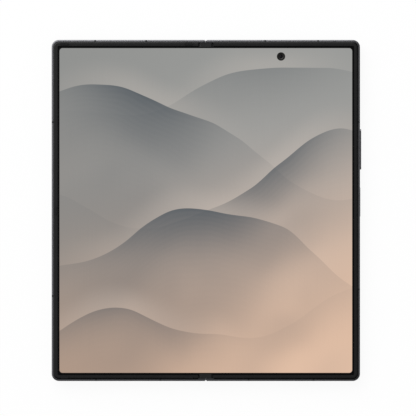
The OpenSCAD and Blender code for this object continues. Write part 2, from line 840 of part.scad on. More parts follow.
module right_antenna_breaks() {
  color([0.09, 0.09, 0.1]) rim_breaks(right_top_breaks, right_bottom_breaks, right_side_breaks);
}

// Switch strip behind the keys, with a dome for each press
module key_switches() {
  color([0.75, 0.6, 0.3]) {
    translate([switch_x - 0.25, side_key_y - 5, key_z - 0.8])
      cube([0.25, rocker_y - side_key_y + 16, midplate_z - key_z + 0.8]);
    for (y = [side_key_y, rocker_y - 6, rocker_y + 6])
      translate([switch_x - tiny, y, key_z]) rotate([0, 90, 0]) cylinder(r1 = 0.9, r2 = 0.4, h = 0.3);
  }
}

module vibration_motor() {
  color([0.6, 0.6, 0.62]) raise(midplate_z - 2, midplate_z)
    translate([parts_x + motor_w / 2, -half_h + 4 + motor_len / 2]) round_rect(motor_w, motor_len, 1);
}

// Flat winding, its turns made of half rounds whose middles step from side to side
module charging_coil() {
  color([0.72, 0.45, 0.22]) translate([(parts_x + battery_x1) / 2, (battery_y0 + board_y0 - 1) / 2, battery_z - 0.25])
    for (i = [0:2 * coil_turns - 1]) {
    r = 9 + i * coil_pitch / 2;
    shift = (i % 2 == 0 ? 1 : -1) * coil_pitch / 4;
    translate([shift, 0, 0]) rotate([0, 0, i % 2 == 0 ? 0 : 180]) rotate_extrude(angle = 180)
      translate([r - coil_wire / 2, 0]) square([coil_wire, 0.25]);
  }
}

module magnets(count) {
  for (i = [0:count - 1]) raise(midplate_z - 1.6, midplate_z)
    translate([half_w - 3, magnet_edge + i * magnet_pitch - half_h]) round_rect(magnet_w, magnet_len, 0.2);
}

module right_magnets() {
  color([0.5, 0.5, 0.52]) magnets(2);
}

// ---------------------------------------------------------------- inside the left half

module left_battery() {
  color([0.16, 0.17, 0.2]) on_left() battery_block(battery_x1, battery_y0, left_battery_top);
}

module left_board() {
  color([0.05, 0.2, 0.14]) on_left() {
    raise(board_z, board_z + board_t) translate([parts_x, left_board_y]) square([left_board_w, left_board_h]);
    for (x = [1.5, left_board_w - 1.5], y = [1.5, left_board_h - 1.5])
      translate([parts_x + x, left_board_y + y, board_z]) cylinder(r = 1, h = midplate_z - board_z);
    raise(board_z + board_t, board_z + board_t + 0.8)
      translate([parts_x + left_board_w / 2, left_board_y + left_board_h / 2])
        round_rect(left_board_w - 15, left_board_h - 22, 0.6);
  }
}

// Reader: a folded cage round the tray's path
module card_reader() {
  color([0.72, 0.72, 0.74]) on_left() difference() {
    translate([reader_x, tray_y - tray_w / 2 - 0.6, tray_z - tray_t / 2 - 0.35])
      cube([tray_len + 1, tray_w + 1.2, midplate_z - tray_z + tray_t / 2 + 0.35]);
    translate([reader_x + 0.4, tray_y - tray_w / 2 - tray_fit, tray_z - tray_t / 2 - tray_fit])
      cube([tray_len + 2, tray_w + 2 * tray_fit, tray_t + 2 * tray_fit]);
  }
}

// Tray with its face in the rim and two recesses for cards
module card_tray() {
  color([0.3, 0.3, 0.31]) on_left() difference() {
    union() {
      translate([half_w - rim_w - 0.1, tray_y, tray_z]) rotate([90, 0, 90])
        linear_extrude(rim_w) slot_outline(tray_face_len, tray_slot_h);
      translate([wall_in - tray_len, tray_y - tray_w / 2, tray_z - tray_t / 2]) cube([tray_len, tray_w, tray_t]);
    }
    translate([wall_in - tray_len + 1, tray_y - 4.4, tray_z - tray_t / 2 - 1]) cube([12.3, 8.8, tray_t - 0.2 + 1]);
    // hole for the pin that pushes the tray out
    translate([half_w - 2, tray_y - tray_face_len / 2 + 1.5, tray_z]) rotate([0, 90, 0]) cylinder(r = 0.45, h = 3);
  }
}

module top_speaker() {
  color([0.14, 0.14, 0.15]) on_left() raise(back_z + 1.4, midplate_z)
    translate([top_speaker_x, half_h - rim_w - 0.1 - top_speaker_depth / 2])
      round_rect(top_speaker_len, top_speaker_depth, 0.8);
}

module left_antenna_breaks() {
  color([0.09, 0.09, 0.1]) on_left() rim_breaks(left_top_breaks, left_bottom_breaks, left_side_breaks);
}

module left_magnets() {
  color([0.5, 0.5, 0.52]) on_left() magnets(3);
}

// Pads on the left bezel that keep the two displays apart when shut
module closing_pads() {
  color([0.1, 0.1, 0.1]) on_left() {
    for (y = [-1, 1], x = [8, half_w - 6]) translate([x, y * (half_h - rim_w - bezel_w / 2), top_z])
      linear_extrude(shut_gap - 0.2) slot_outline(4, 1);
    translate([half_w - rim_w - bezel_w / 2, 0, top_z]) linear_extrude(shut_gap - 0.2)
      rotate(90) slot_outline(4, 1);
  }
}

// ---------------------------------------------------------------- hinge

// Rotator on the own side: a plate under the midplate, a neck over the spine's edge
// and a curved tongue that slides round the pivot in the base's track
module rotator(y, len, tongue, tongue_y) {
  translate([wing_x, y - len / 2, rotator_z]) cube([rotator_reach - wing_x, len, midplate_z - rotator_z]);
  translate([0, y, 0]) along_hinge(-len / 2, len / 2) difference() {
    translate([pivot_x + tongue_in, neck_z]) square([wing_x + 0.8 - pivot_x - tongue_in, shelf_z - 0.05 - neck_z]);
    translate([pivot_x, pivot_z]) circle(tongue_in);
  }
  along_hinge(tongue_y - tongue / 2, tongue_y + tongue / 2) translate([pivot_x, pivot_z]) intersection() {
    difference() {
      circle(tongue_out);
      circle(tongue_in);
    }
    union() {
      wedge(big / 20, 540 - tongue_end, 300);
      wedge(big / 20, 299, 357);
    }
  }
}

module rotators(s) {
  outer = module_len / 2 - rotator_len / 2 + 0.5;
  difference() {
    union() {
      for (m = modules_y) rotator(m - s * outer, rotator_len, tongue_len, m - s * block_y);
      rotator(-s * (middle_rotator_len / 2 + 0.3), middle_rotator_len, middle_tongue_len, -s * middle_len / 4);
    }
    for (p = screw_places(s)) translate([p[0], p[1], rotator_z - 1]) cylinder(r = screw_r, h = 3);
  }
}

module right_rotators() {
  color([0.55, 0.55, 0.57]) rotators(1);
}

module left_rotators() {
  color([0.55, 0.55, 0.57]) on_left() rotators(-1);
}

module screws(s) {
  for (p = screw_places(s)) translate([p[0], p[1], 0]) {
    translate([0, 0, shelf_z - screw_head_h]) cylinder(r = screw_head_r - 0.03, h = screw_head_h - 0.02);
    translate([0, 0, rotator_z + 0.05]) cylinder(r = screw_r - 0.03, h = shelf_z - rotator_z - 0.2);
  }
}

module right_screws() {
  color([0.35, 0.35, 0.37]) screws(1);
}

module left_screws() {
  color([0.35, 0.35, 0.37]) on_left() screws(-1);
}

// Shell along the back of the hinge, seen when the phone is shut
module hinge_cover() {
  color([0.2, 0.2, 0.22]) along_hinge(-spine_half_h, spine_half_h) intersection() {
    difference() {
      spine_section(spine_r);
      spine_section(spine_in_r);
    }
    below(spine_edge_z);
  }
}

// Plugs in the ends of the shell, seen between the bezels
module hinge_caps() {
  color([0.17, 0.17, 0.18]) for (s = [0, 1]) mirror([0, s, 0]) along_hinge(cap_y, spine_half_h) {
    intersection() {
      spine_section(spine_in_r);
      below(spine_edge_z + 0.2);
    }
    translate([0, (spine_edge_z + 0.1 + cap_step_z) / 2])
      round_rect(2 * cap_half_w, cap_step_z - spine_edge_z - 0.1, 0.3);
    translate([0, (cap_step_z - 0.4 + top_z - 0.1) / 2]) round_rect(cap_crown_w, top_z + 0.3 - cap_step_z, 0.3);
  }
}

// Track section in a base: s is +1 for the right half's tongue and -1 for the left's
module track(s) {
  mirror([s < 0 ? 1 : 0, 0]) translate([pivot_x, pivot_z]) intersection() {
    difference() {
      circle(spine_in_r + 1);
      circle(groove_in);
    }
    union() {
      wedge(big / 20, 540 - groove_end, 300);
      wedge(big / 20, 299, 375);
    }
  }
}

// One block of a base, from y0 to y1, with a track on the side s that takes a tongue of the given length
module base_block(y0, y1, s, tongue) {
  room = tongue / 2 + 0.15;
  y = (y0 + y1) / 2;
  difference() {
    along_hinge(y0, y1) difference() {
      intersection() {
        spine_section(block_r);
        below(block_top);
        union() {
          below(neck_z - 0.08);
          translate([-core_half_w, neck_z - 1]) square([2 * core_half_w, 5]);
        }
      }
      translate([-channel_half_w, channel_z]) square([2 * channel_half_w, 5]);
    }
    along_hinge(y - room, y + room) track(s);
    shafts(y0 - 1, y1 + 1, 0);
  }
}

module hinge_bases() {
  color([0.45, 0.45, 0.47]) {
    for (m = modules_y) {
      base_block(m + block_y - block_len / 2, m + block_y + block_len / 2, -1, tongue_len);
      base_block(m - block_y - block_len / 2, m - block_y + block_len / 2, 1, tongue_len);
    }
    base_block(0.05, middle_len / 2, -1, middle_tongue_len);
    base_block(-middle_len / 2, -0.05, 1, middle_tongue_len);
  }
}

// The four shafts of a module, from y0 to y1
module shafts(y0, y1, trim) {
  for (s = [-1, 1]) {
    translate([s * arm_x, y1, arm_z]) rotate([90, 0, 0]) cylinder(r = arm_shaft_r - trim, h = y1 - y0);
    translate([s * idler_x, y1, idler_z]) rotate([90, 0, 0]) cylinder(r = idler_shaft_r - trim, h = y1 - y0);
  }
}

module hinge_shafts() {
  color([0.75, 0.75, 0.77]) for (m = modules_y)
    translate([0, m, 0]) shafts(-module_len / 2 + 0.5, module_len / 2 - 0.5, 0.01);
}

// Stacks of cupped washers that press the arms' hubs and give the hinge its drag
module disc_springs() {
  color([0.66, 0.66, 0.6]) for (m = modules_y, s = [-1, 1], i = [0:3])
    translate([s * arm_x, m + s * -(gear_w / 2 + 0.1 + 0.75 * i), arm_z]) rotate([s * 90, 0, 0])
      spring_pair(arm_shaft_r + run_gap);
}

module spring_pair(bore) {
  for (k = [0, 1]) translate([0, 0, k * 0.72]) mirror([0, 0, k]) rotate_extrude()
    polygon([[bore, 0], [0.6, 0.22], [0.6, 0.36], [bore, 0.14]]);
}

module display_fold() {
  color([0.61, 0.6, 0.57]) translate([-fold_half_w, -cap_y + panel_fit, panel_z])
    cube([2 * fold_half_w, 2 * (cap_y - panel_fit), panel_t]);
}

// Ribbons of wiring that join the boards of the two halves
module hinge_flex() {
  color([0.5, 0.32, 0.12]) for (y = [-flex_y, flex_y])
    translate([-wing_x - 3.8, y - 4, shelf_z - 0.16]) cube([2 * wing_x + 7.6, 8, 0.12]);
}

// Arm on the right: a hub with a part gear, and a bar that slides in the half
module sync_arm(phase) {
  along_hinge(-gear_w / 2, gear_w / 2) difference() {
    translate([arm_x, arm_z]) {
      circle(arm_gear_r - tooth_in);
      teeth(arm_gear_r, arm_teeth, phase, 98, 222);
    }
    translate([arm_x, arm_z]) circle(arm_shaft_r + run_gap);
  }
  along_hinge(-gear_w / 2, gear_w / 2) translate([arm_x + 0.3, arm_z + 0.35]) square([1, arm_top - arm_z - 0.35]);
  translate([arm_x + 0.8, -arm_w / 2, arm_top - arm_t]) cube([arm_reach - arm_x - 0.8, arm_w, arm_t]);
}

// Phases that put all four gears in mesh with the phone open
left_idler_phase = 0;
right_idler_phase = 180 / idler_teeth;
to_left_arm = 180 + idler_dir;
to_right_arm = -idler_dir;
left_lag = nearest(left_idler_phase, to_left_arm);
right_lag = nearest(right_idler_phase, to_right_arm);
left_arm_gap = mesh_gap(idler_dir, left_lag, idler_r, arm_gear_r);
right_arm_gap = mesh_gap(180 - idler_dir, right_lag, idler_r, arm_gear_r);
function nearest(phase, dir) =
  phase + round((dir - phase) * idler_teeth / 360) * 360 / idler_teeth - dir;

module left_sync_arms() {
  // seen in the mirror, an angle a becomes 180 - a
  color([0.62, 0.62, 0.64]) for (m = modules_y) translate([0, m, 0]) on_left()
    sync_arm(180 - left_arm_gap + 180 / arm_teeth);
}

module right_sync_arms() {
  color([0.62, 0.62, 0.64]) for (m = modules_y) translate([0, m, 0])
    sync_arm(right_arm_gap + 180 / arm_teeth);
}

module idler(phase) {
  difference() {
    union() {
      circle(idler_r - tooth_in);
      teeth(idler_r, idler_teeth, phase, -1, 358);
    }
    circle(idler_shaft_r + run_gap);
  }
}

module left_idlers() {
  color([0.8, 0.68, 0.4]) for (m = modules_y) along_hinge(m - gear_w / 2, m + gear_w / 2)
    translate([-idler_x, idler_z]) idler(left_idler_phase);
}

module right_idlers() {
  color([0.8, 0.68, 0.4]) for (m = modules_y) along_hinge(m - gear_w / 2, m + gear_w / 2)
    translate([idler_x, idler_z]) idler(right_idler_phase);
}

// ---------------------------------------------------------------- keys

// Key in its slot: a rounded bar with softened edges, and a flange of its own thickness behind the wall
module key_bar(y, len, out, flange) {
  from_x = rocker_flange_x + 0.1;
  reach = half_w + out - from_x;
  intersection() {
    translate([from_x, y, key_z]) rotate([90, 0, 90]) linear_extrude(reach) slot_outline(len, key_h);
    raise(back_z, top_z) translate([from_x, y]) round_rect(2 * reach, len, key_edge_r);
    along_hinge(y - len / 2, y + len / 2) translate([from_x, key_z]) round_rect(2 * reach, key_h, key_edge_r);
  }
  translate([rocker_flange_x, y, key_z]) rotate([90, 0, 90])
    linear_extrude(flange) slot_outline(len + 2 * flange_lip, flange_h);
}

module volume_rocker() {
  color([0.34, 0.34, 0.36]) key_bar(rocker_y, rocker_len, rocker_out, rocker_flange);
}

module side_key() {
  color([0.22, 0.22, 0.23]) key_bar(side_key_y, side_key_len, side_key_out, rocker_flange + 0.2);
}

right_frame();
right_bezel();
display_right();
right_backing_plate();
back_glass();
camera_island();
lens_rings();
lens_glasses();
camera_modules();
flash_lens();
main_board();
board_shields();
right_battery();
usb_c_socket();
port_board();
bottom_speaker();
inner_camera();
right_antenna_breaks();
right_rotators();
key_switches();
right_screws();
vibration_motor();
charging_coil();
right_magnets();
left_frame();
left_bezel();
display_left();
left_backing_plate();
cover_glass();
cover_display();
cover_camera();
earpiece_mesh();
left_battery();
left_board();
card_reader();
left_antenna_breaks();
left_rotators();
left_screws();
top_speaker();
left_magnets();
closing_pads();
hinge_cover();
hinge_caps();
hinge_bases();
hinge_shafts();
disc_springs();
display_fold();
hinge_flex();
left_sync_arms();
right_sync_arms();
left_idlers();
right_idlers();
volume_rocker();
side_key();
card_tray();
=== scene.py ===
"""Looks for an open folding phone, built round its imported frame, with a plain studio stage."""

import math
import bmesh
import bpy
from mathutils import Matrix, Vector


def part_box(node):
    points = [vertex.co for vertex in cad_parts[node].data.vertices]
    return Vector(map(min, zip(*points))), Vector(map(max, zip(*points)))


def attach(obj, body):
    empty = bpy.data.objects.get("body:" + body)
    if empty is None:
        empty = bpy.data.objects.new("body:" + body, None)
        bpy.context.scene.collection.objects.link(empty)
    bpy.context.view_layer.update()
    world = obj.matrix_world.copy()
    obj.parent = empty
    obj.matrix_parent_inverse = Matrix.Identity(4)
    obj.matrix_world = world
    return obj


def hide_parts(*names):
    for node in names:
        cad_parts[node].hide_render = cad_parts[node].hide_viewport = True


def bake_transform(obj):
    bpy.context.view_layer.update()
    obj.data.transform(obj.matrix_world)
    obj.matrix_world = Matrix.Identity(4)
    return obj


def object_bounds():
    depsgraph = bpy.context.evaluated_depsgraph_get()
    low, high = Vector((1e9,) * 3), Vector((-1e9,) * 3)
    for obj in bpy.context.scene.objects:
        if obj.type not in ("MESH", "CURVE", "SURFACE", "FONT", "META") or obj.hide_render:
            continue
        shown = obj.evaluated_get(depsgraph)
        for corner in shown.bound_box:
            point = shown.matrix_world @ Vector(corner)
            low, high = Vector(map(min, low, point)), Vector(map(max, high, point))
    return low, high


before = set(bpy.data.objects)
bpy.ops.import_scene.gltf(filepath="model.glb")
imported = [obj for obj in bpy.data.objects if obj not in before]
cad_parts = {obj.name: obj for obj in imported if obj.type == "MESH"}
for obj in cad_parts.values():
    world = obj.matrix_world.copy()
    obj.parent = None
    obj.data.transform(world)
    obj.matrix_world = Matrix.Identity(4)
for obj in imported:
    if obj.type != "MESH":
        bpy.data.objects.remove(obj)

bl_info = {
    "name": "Folding phone looks",
    "version": (1, 0, 0),
    "blender": (4, 5, 0),
    "location": "View3D > Sidebar > Phone",
    "description": "Dresses the frame of a folding phone and sets it on a plain stage",
    "category": "Object",
}

MM = 0.001
CAD_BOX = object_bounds()

# sizes in millimetres
BEZEL_CORNER = 2.43  # outer corner radius of the bezel
PICTURE_X, PICTURE_Y = 68, 75  # reach of the picture's colours from the middle
HOLE_BLACK, HOLE_LIT = 1.9, 1.98  # end of the black round the camera hole, start of the picture
CREASE_DEPTH = 0.05  # dip of the open display along the fold
RIBBON_INSET, RIBBON_HALF = 4, 4  # a ribbon's middle from the node's end, and half its width
REAR_BARREL_RADIUS, REAR_BARREL_DEPTH = 4.6, 1.2  # recesses of the rear camera barrels
INNER_BARREL_RADIUS, INNER_BARREL_DEPTH = 1.9, 0.58  # recess of the inner camera's barrel
REAR_CLEAR = 4.3  # radius of the clear part of a rear cover glass
SURROUND_IN, SURROUND_OUT, SURROUND_DROP = 0.8, 1.93, 0.12  # printed ring in the camera hole
CONTACTS, CONTACT_PITCH, CONTACT_W = 12, 0.5, 0.28  # the socket's contacts on each side
CONTACT_IN, CONTACT_OUT = 0.33, 0.37  # height of a contact's two faces from the tongue's middle
CONTACT_START, CONTACT_END = 1.3, 5.6  # a contact's ends, from the socket's mouth
CONTACT_ROUND, CONTACT_STEPS = 0.05, 2  # a contact's corner radius, and the parts of a corner
SLIT_SHADOW_HALF, SLIT_SHADOW_END = 0.2, 1.5  # half width and length of the painted shadow patch on the floor under the open gap at either end of the hinge

LENS_SHARE = 0.49  # share of a barrel's radius that its front lens fills
TURN_STEPS = 72  # corners of a turned piece
SHARP = math.radians(35)  # edges that turn by more than this look sharp
STRIP_COLUMNS, RIBBON_COLUMNS, SHEET_ROWS = 28, 32, 8  # parts that a bending sheet is cut into

# stage, in metres
FLOOR_REACH, FLOOR_DROP = 4.0, 0.0002  # half the floor's side, and its depth
SENSOR = 36.0  # width of the camera's sensor, in its own millimetres
VIEW_X, VIEW_Y = 0.001, 0.001155  # point that the camera looks down on
WHITE = (1.0, 1.0, 1.0)


# ------------------------------------------------------------------ material maths


class Term:
    """A value inside a pattern. Arithmetic on it adds Math nodes, so it reads as a formula."""

    def __init__(self, pattern, socket):
        self.pattern = pattern
        self.socket = socket

    def do(self, operation, *others):
        sockets = dict(enumerate((self, *others)))
        return self.pattern.node("ShaderNodeMath", {"operation": operation}, sockets)

    def out(self, name):
        """Another output of the node that this value comes from."""
        return Term(self.pattern, self.socket.node.outputs[name])

    def __add__(self, other):
        return self.do("ADD", other)

    __radd__ = __add__

    def __sub__(self, other):
        return self.do("SUBTRACT", other)

    def __rsub__(self, other):
        return self.do("MULTIPLY_ADD", -1.0, other)

    def __mul__(self, other):
        return self.do("MULTIPLY", other)

    __rmul__ = __mul__

    def __truediv__(self, other):
        return self.do("DIVIDE", other)

    def __pow__(self, other):
        return self.do("POWER", other)

    def __abs__(self):
        return self.do("ABSOLUTE")


def length(x, y):
    """Length of a flat vector."""
    return (x ** 2.0 + y ** 2.0).do("SQRT")


def rounding(x, y, half_w, half_h, corner):
    """Distance from a rectangle drawn in by its corner radius.

    It equals corner on the rounded outline.
    """
    out_x = (abs(x) - (half_w - corner)).do("MAXIMUM", 0.0)
    out_y = (abs(y) - (half_h - corner)).do("MAXIMUM", 0.0)
    return length(out_x, out_y)


class Pattern:
    """The nodes of a material or of the room's light."""

    def __init__(self, owner):
        owner.use_nodes = True
        self.tree = owner.node_tree
        self.tree.nodes.clear()
        self.mapped = False
        self._place = None

    def node(self, kind, settings=None, inputs=None, out=0):
        """Adds one node: its settings first, then the values or links of its sockets."""
        made = self.tree.nodes.new(kind)
        for key, value in (settings or {}).items():
            setattr(made, key, value)
        for key, value in (inputs or {}).items():
            self.feed(made.inputs[key], value)
        return Term(self, made.outputs[out]) if len(made.outputs) else None

    def vector(self, operation, inputs):
        return self.node("ShaderNodeVectorMath", {"operation": operation}, inputs)

    def feed(self, socket, value):
        """Links or sets one socket."""
        if isinstance(value, Term):
            self.tree.links.new(value.socket, socket)
        elif socket.type == "RGBA" and len(value) == 3:
            socket.default_value = (*value, 1.0)
        else:
            socket.default_value = value

    @property
    def place(self):
        """Where a point lies on the phone at rest, in millimetres."""
        if self._place is None:
            source = self.node("ShaderNodeTexCoord", out="UV" if self.mapped else "Object")
            self._place = self.vector("SCALE", {0: source, "Scale": 1 / MM})
        return self._place

    def flatten(self, x, y):
        """Makes later noise depend on two axes alone, so it runs on from piece to piece."""
        self._place = self.node("ShaderNodeCombineXYZ", inputs={"X": x, "Y": y})

    def axes(self):
        """The three coordinates of a point."""
        split = self.node("ShaderNodeSeparateXYZ", inputs={0: self.place})
        return split, split.out("Y"), split.out("Z")

    def grain(self, scale, detail=2.0, rough=0.5, stretch=(1, 1, 1)):
        """Soft noise from 0 to 1; scale is how many lumps fit in a millimetre."""
        place = self.vector("MULTIPLY", {0: self.place, 1: stretch})
        sockets = {"Vector": place, "Scale": scale, "Detail": detail, "Roughness": rough}
        return self.node("ShaderNodeTexNoise", inputs=sockets)

    def cells(self, scale):
        """Distance to the nearest of many scattered points, scale of them to a millimetre."""
        return self.node("ShaderNodeTexVoronoi", inputs={"Vector": self.place, "Scale": scale})

    def step(self, value, low, high, smooth=True):
        """0 below low, 1 above high."""
        kind = "SMOOTHSTEP" if smooth else "LINEAR"
        sockets = {"Value": value, "From Min": low, "From Max": high}
        return self.node("ShaderNodeMapRange", {"interpolation_type": kind}, sockets)

    def tint(self, share, first, second):
        """A colour that goes from the first to the second as share goes from 0 to 1."""
        sockets = {0: share, 6: first, 7: second}
        return self.node("ShaderNodeMix", {"data_type": "RGBA"}, sockets, out=2)

    def dim(self, colour, share):
        return self.vector("SCALE", {0: colour, "Scale": share})

    def relief(self, height, depth, strength=1.0, normal=None):
        """A normal from a height of 0 to 1 that stands for depth millimetres."""
        sockets = {"Height": height, "Distance": depth * MM, "Strength": strength}
        if normal is not None:
            sockets["Normal"] = normal
        return self.node("ShaderNodeBump", inputs=sockets)


class Finish(Pattern):
    """A material whose pattern is worked out in the phone's own millimetres."""

    def __init__(self, name, mapped=False):
        self.material = bpy.data.materials.new(name)
        super().__init__(self.material)
        surface = self.node("ShaderNodeBsdfPrincipled")
        self.shader = surface.socket.node
        self.node("ShaderNodeOutputMaterial", inputs={"Surface": surface})
        self.mapped = mapped

    def surface(self, **sockets):
        """Sets the shader's sockets; an underscore stands for a space in a socket's name."""
        for key, value in sockets.items():
            self.feed(self.shader.inputs[key.replace("_", " ")], value)
        return self.material


def srgb(*levels):
    """A colour from its screen levels of 11 to 255, in linear light."""
    return tuple(((level / 255 + 0.055) / 1.055) ** 2.4 for level in levels)


def scaled(colour, share, lift=0.0):
    """A colour with each channel times share, plus lift."""
    return tuple(min(1.0, channel * share + lift) for channel in colour)


def looks(name):
    return getattr(bpy.context.scene, name)


def corners(name):
    """Lowest and highest corners of a CAD node, in millimetres."""
    low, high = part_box(name)
    return low / MM, high / MM


def dress(names, material):
    """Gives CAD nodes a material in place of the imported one."""
    for name in names:
        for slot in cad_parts[name].material_slots:
            slot.material = material


# ------------------------------------------------------------------ mesh making


def solid(name, build, material):
    """Makes a mesh piece from a function that fills a bmesh, in millimetres."""
    mesh = bpy.data.meshes.new(name)
    bm = bmesh.new()
    build(bm)
    bmesh.ops.recalc_face_normals(bm, faces=bm.faces)
    bmesh.ops.scale(bm, vec=(MM, MM, MM), verts=bm.verts)
    for face in bm.faces:
        face.smooth = True
    bm.to_mesh(mesh)
    bm.free()
    mesh.set_sharp_from_angle(angle=SHARP)
    piece = bpy.data.objects.new(name, mesh)
    bpy.context.scene.collection.objects.link(piece)
    mesh.materials.append(material)
    return piece


def turned(bm, profile, centre):
    """Turns a profile of (radius, height) round a vertical line.

    An end with radius 0 closes to a point.
    """
    x0, y0 = centre
    rings = []
    for radius, z in profile:
        if radius <= 0:
            rings.append([bm.verts.new((x0, y0, z))])
            continue
        ring = []
        for i in range(TURN_STEPS):
            a = 2 * math.pi * i / TURN_STEPS
            ring.append(bm.verts.new((x0 + radius * math.cos(a), y0 + radius * math.sin(a), z)))
        rings.append(ring)
    for low, high in zip(rings, rings[1:]):
        for i in range(TURN_STEPS):
            j = (i + 1) % TURN_STEPS
            if len(low) == 1:
                bm.faces.new((low[0], high[j], high[i]))
            elif len(high) == 1:
                bm.faces.new((low[i], low[j], high[0]))
            else:
                bm.faces.new((low[i], low[j], high[j], high[i]))


def pad(bm, x0, x1, y0, y1, z0, z1, round_by, steps):
    """A low block with rounded corners and a softened top edge."""
    outlines = []
    edge = min(0.25 * (z1 - z0), 0.3 * round_by)
    for inset, z in ((0, z0), (0, z1 - edge), (0.3 * edge, z1 - 0.3 * edge), (edge, z1)):
        ring = []
        r = max(round_by - inset, 0.01)
        arcs = (
            (x1 - inset - r, y1 - inset - r, 0),
            (x0 + inset + r, y1 - inset - r, 90),
            (x0 + inset + r, y0 + inset + r, 180),
            (x1 - inset - r, y0 + inset + r, 270),
        )
        for cx, cy, a0 in arcs:
            for k in range(steps + 1):
                a = math.radians(a0 + 90 * k / steps)
                ring.append(bm.verts.new((cx + r * math.cos(a), cy + r * math.sin(a), z)))
        outlines.append(ring)
    n = len(outlines[0])
    for low, high in zip(outlines, outlines[1:]):
        for i in range(n):
            bm.faces.new((low[i], low[(i + 1) % n], high[(i + 1) % n], high[i]))
    bm.faces.new(outlines[0][::-1])
    bm.faces.new(outlines[-1])


def strip(name, x0, x1, y0, y1, z0, z1, material, columns, sag=None):
    """A thin sheet cut into columns, with its rest place kept as a map."""
    xs = [x0 + (x1 - x0) * i / columns for i in range(columns + 1)]
    ys = [y0 + (y1 - y0) * j / SHEET_ROWS for j in range(SHEET_ROWS + 1)]
    dip = sag or (lambda x: 0.0)

    def build(bm):
        tops = [[bm.verts.new((x, y, z1 - dip(x))) for y in ys] for x in xs]
        lows = [[bm.verts.new((x, y, z0 - dip(x))) for y in ys] for x in xs]
        for i in range(len(xs) - 1):
            for j in range(len(ys) - 1):
                bm.faces.new((tops[i][j], tops[i + 1][j], tops[i + 1][j + 1], tops[i][j + 1]))
                bm.faces.new((lows[i][j], lows[i][j + 1], lows[i + 1][j + 1], lows[i + 1][j]))
        for i in range(len(xs) - 1):
            for j in (0, len(ys) - 1):
                bm.faces.new((tops[i][j], lows[i][j], lows[i + 1][j], tops[i + 1][j]))
        for j in range(len(ys) - 1):
            for i in (0, len(xs) - 1):
                bm.faces.new((tops[i][j], tops[i][j + 1], lows[i][j + 1], lows[i][j]))

    piece = solid(name, build, material)
    layer = piece.data.uv_layers.new(name="rest_place")
    for loop in piece.data.loops:
        co = piece.data.vertices[loop.vertex_index].co
        layer.data[loop.index].uv = (co.x, co.y)
    return piece


# ------------------------------------------------------------------ settings


class DisplayLook(bpy.types.PropertyGroup):
    """The folding display's picture and its black border"""

    lit_width: bpy.props.FloatProperty(
        name="Lit width",
        description="Width of the lit picture",
        default=135.8 * MM, unit="LENGTH",
    )
    lit_height: bpy.props.FloatProperty(
        name="Lit height",
        description="Height of the lit picture",
        default=150.65 * MM, unit="LENGTH",
    )
    lit_corner: bpy.props.FloatProperty(
        name="Lit corner",
        description="Corner radius of the lit picture",
        default=1.4 * MM, unit="LENGTH",
    )
    sky: bpy.props.FloatVectorProperty(
        name="Top",
        description="Picture colour at the top",
        default=srgb(151, 152, 150), subtype="COLOR", size=3,
    )
    haze: bpy.props.FloatVectorProperty(
        name="Middle",
        description="Picture colour in the middle",
        default=srgb(167, 164, 160), subtype="COLOR", size=3,
    )
    sand: bpy.props.FloatVectorProperty(
        name="Bottom",
        description="Picture colour at the bottom",
        default=srgb(222, 188, 163), subtype="COLOR", size=3,
    )
    shadow: bpy.props.FloatVectorProperty(
        name="Shade",
        description="Colour of the shade under a crest",
        default=srgb(84, 91, 97), subtype="COLOR", size=3,
    )
    glow: bpy.props.FloatProperty(
        name="Brightness",
        description="Brightness of the lit picture",
        default=1.0, min=0.0, max=2.0, subtype="FACTOR",
    )


class BodyLook(bpy.types.PropertyGroup):
    """The metals and plastics of the body"""

    rim: bpy.props.FloatVectorProperty(
        name="Rim",
        description="Colour of the anodised rim",
        default=(0.136, 0.136, 0.145), subtype="COLOR", size=3,
    )
    bezel: bpy.props.FloatVectorProperty(
        name="Bezel",
        description="Colour of the raised bezel",
        default=(0.0076, 0.0076, 0.0078), subtype="COLOR", size=3,
    )
    back: bpy.props.FloatVectorProperty(
        name="Back glass",
        description="Colour of the frosted back",
        default=(0.016, 0.017, 0.019), subtype="COLOR", size=3,
    )


class StageLook(bpy.types.PropertyGroup):
    """The floor, the lamps and the camera"""

    view_width: bpy.props.FloatProperty(
        name="View width",
        description="Width that the picture spans at the display",
        default=0.193, unit="LENGTH",
    )
    camera_height: bpy.props.FloatProperty(
        name="Camera height",
        description="Height of the camera above the display",
        default=1.1, unit="LENGTH",
    )
    key_power: bpy.props.FloatProperty(
        name="Key lamp",
        description="Power of the large soft lamp",
        default=30.0, min=0.0, unit="POWER",
    )
    fill_power: bpy.props.FloatProperty(
        name="Fill lamp",
        description="Power of the small soft lamp",
        default=0.4, min=0.0, unit="POWER",
    )
    ambient: bpy.props.FloatProperty(
        name="Ambient",
        description="Brightness of the room",
        default=0.45, min=0.0, max=1.0, subtype="FACTOR",
    )


# ------------------------------------------------------------------ the display's finish


# each dune: level and slope of its crest, its two swells (height, length, shift), how far its
# shade falls and how strong it is, and the middle and spread of that shade
CRESTS = (
    (56, 0.10, (8, 24, 0.2), (1.6, 9.5, 1.0), 14, 0.4, (26, 34)),
    (34, -0.16, (17, 31, 2.7), (2.6, 12.0, 0.2), 27, 0.95, (-30, 34)),
    (9, 0.22, (13, 22, 5.3), (2.0, 10.5, 2.2), 19, 0.8, (34, 30)),
    (-18, -0.12, (20, 30, 1.3), (2.2, 9.0, 3.6), 27, 0.95, (-6, 40)),
    (-52, 0.08, (9, 19, 3.9), (1.4, 8.5, 0.8), 15, 0.5, (-40, 36)),
)
CREST_GLOW = srgb(228, 216, 205)  # light above a crest


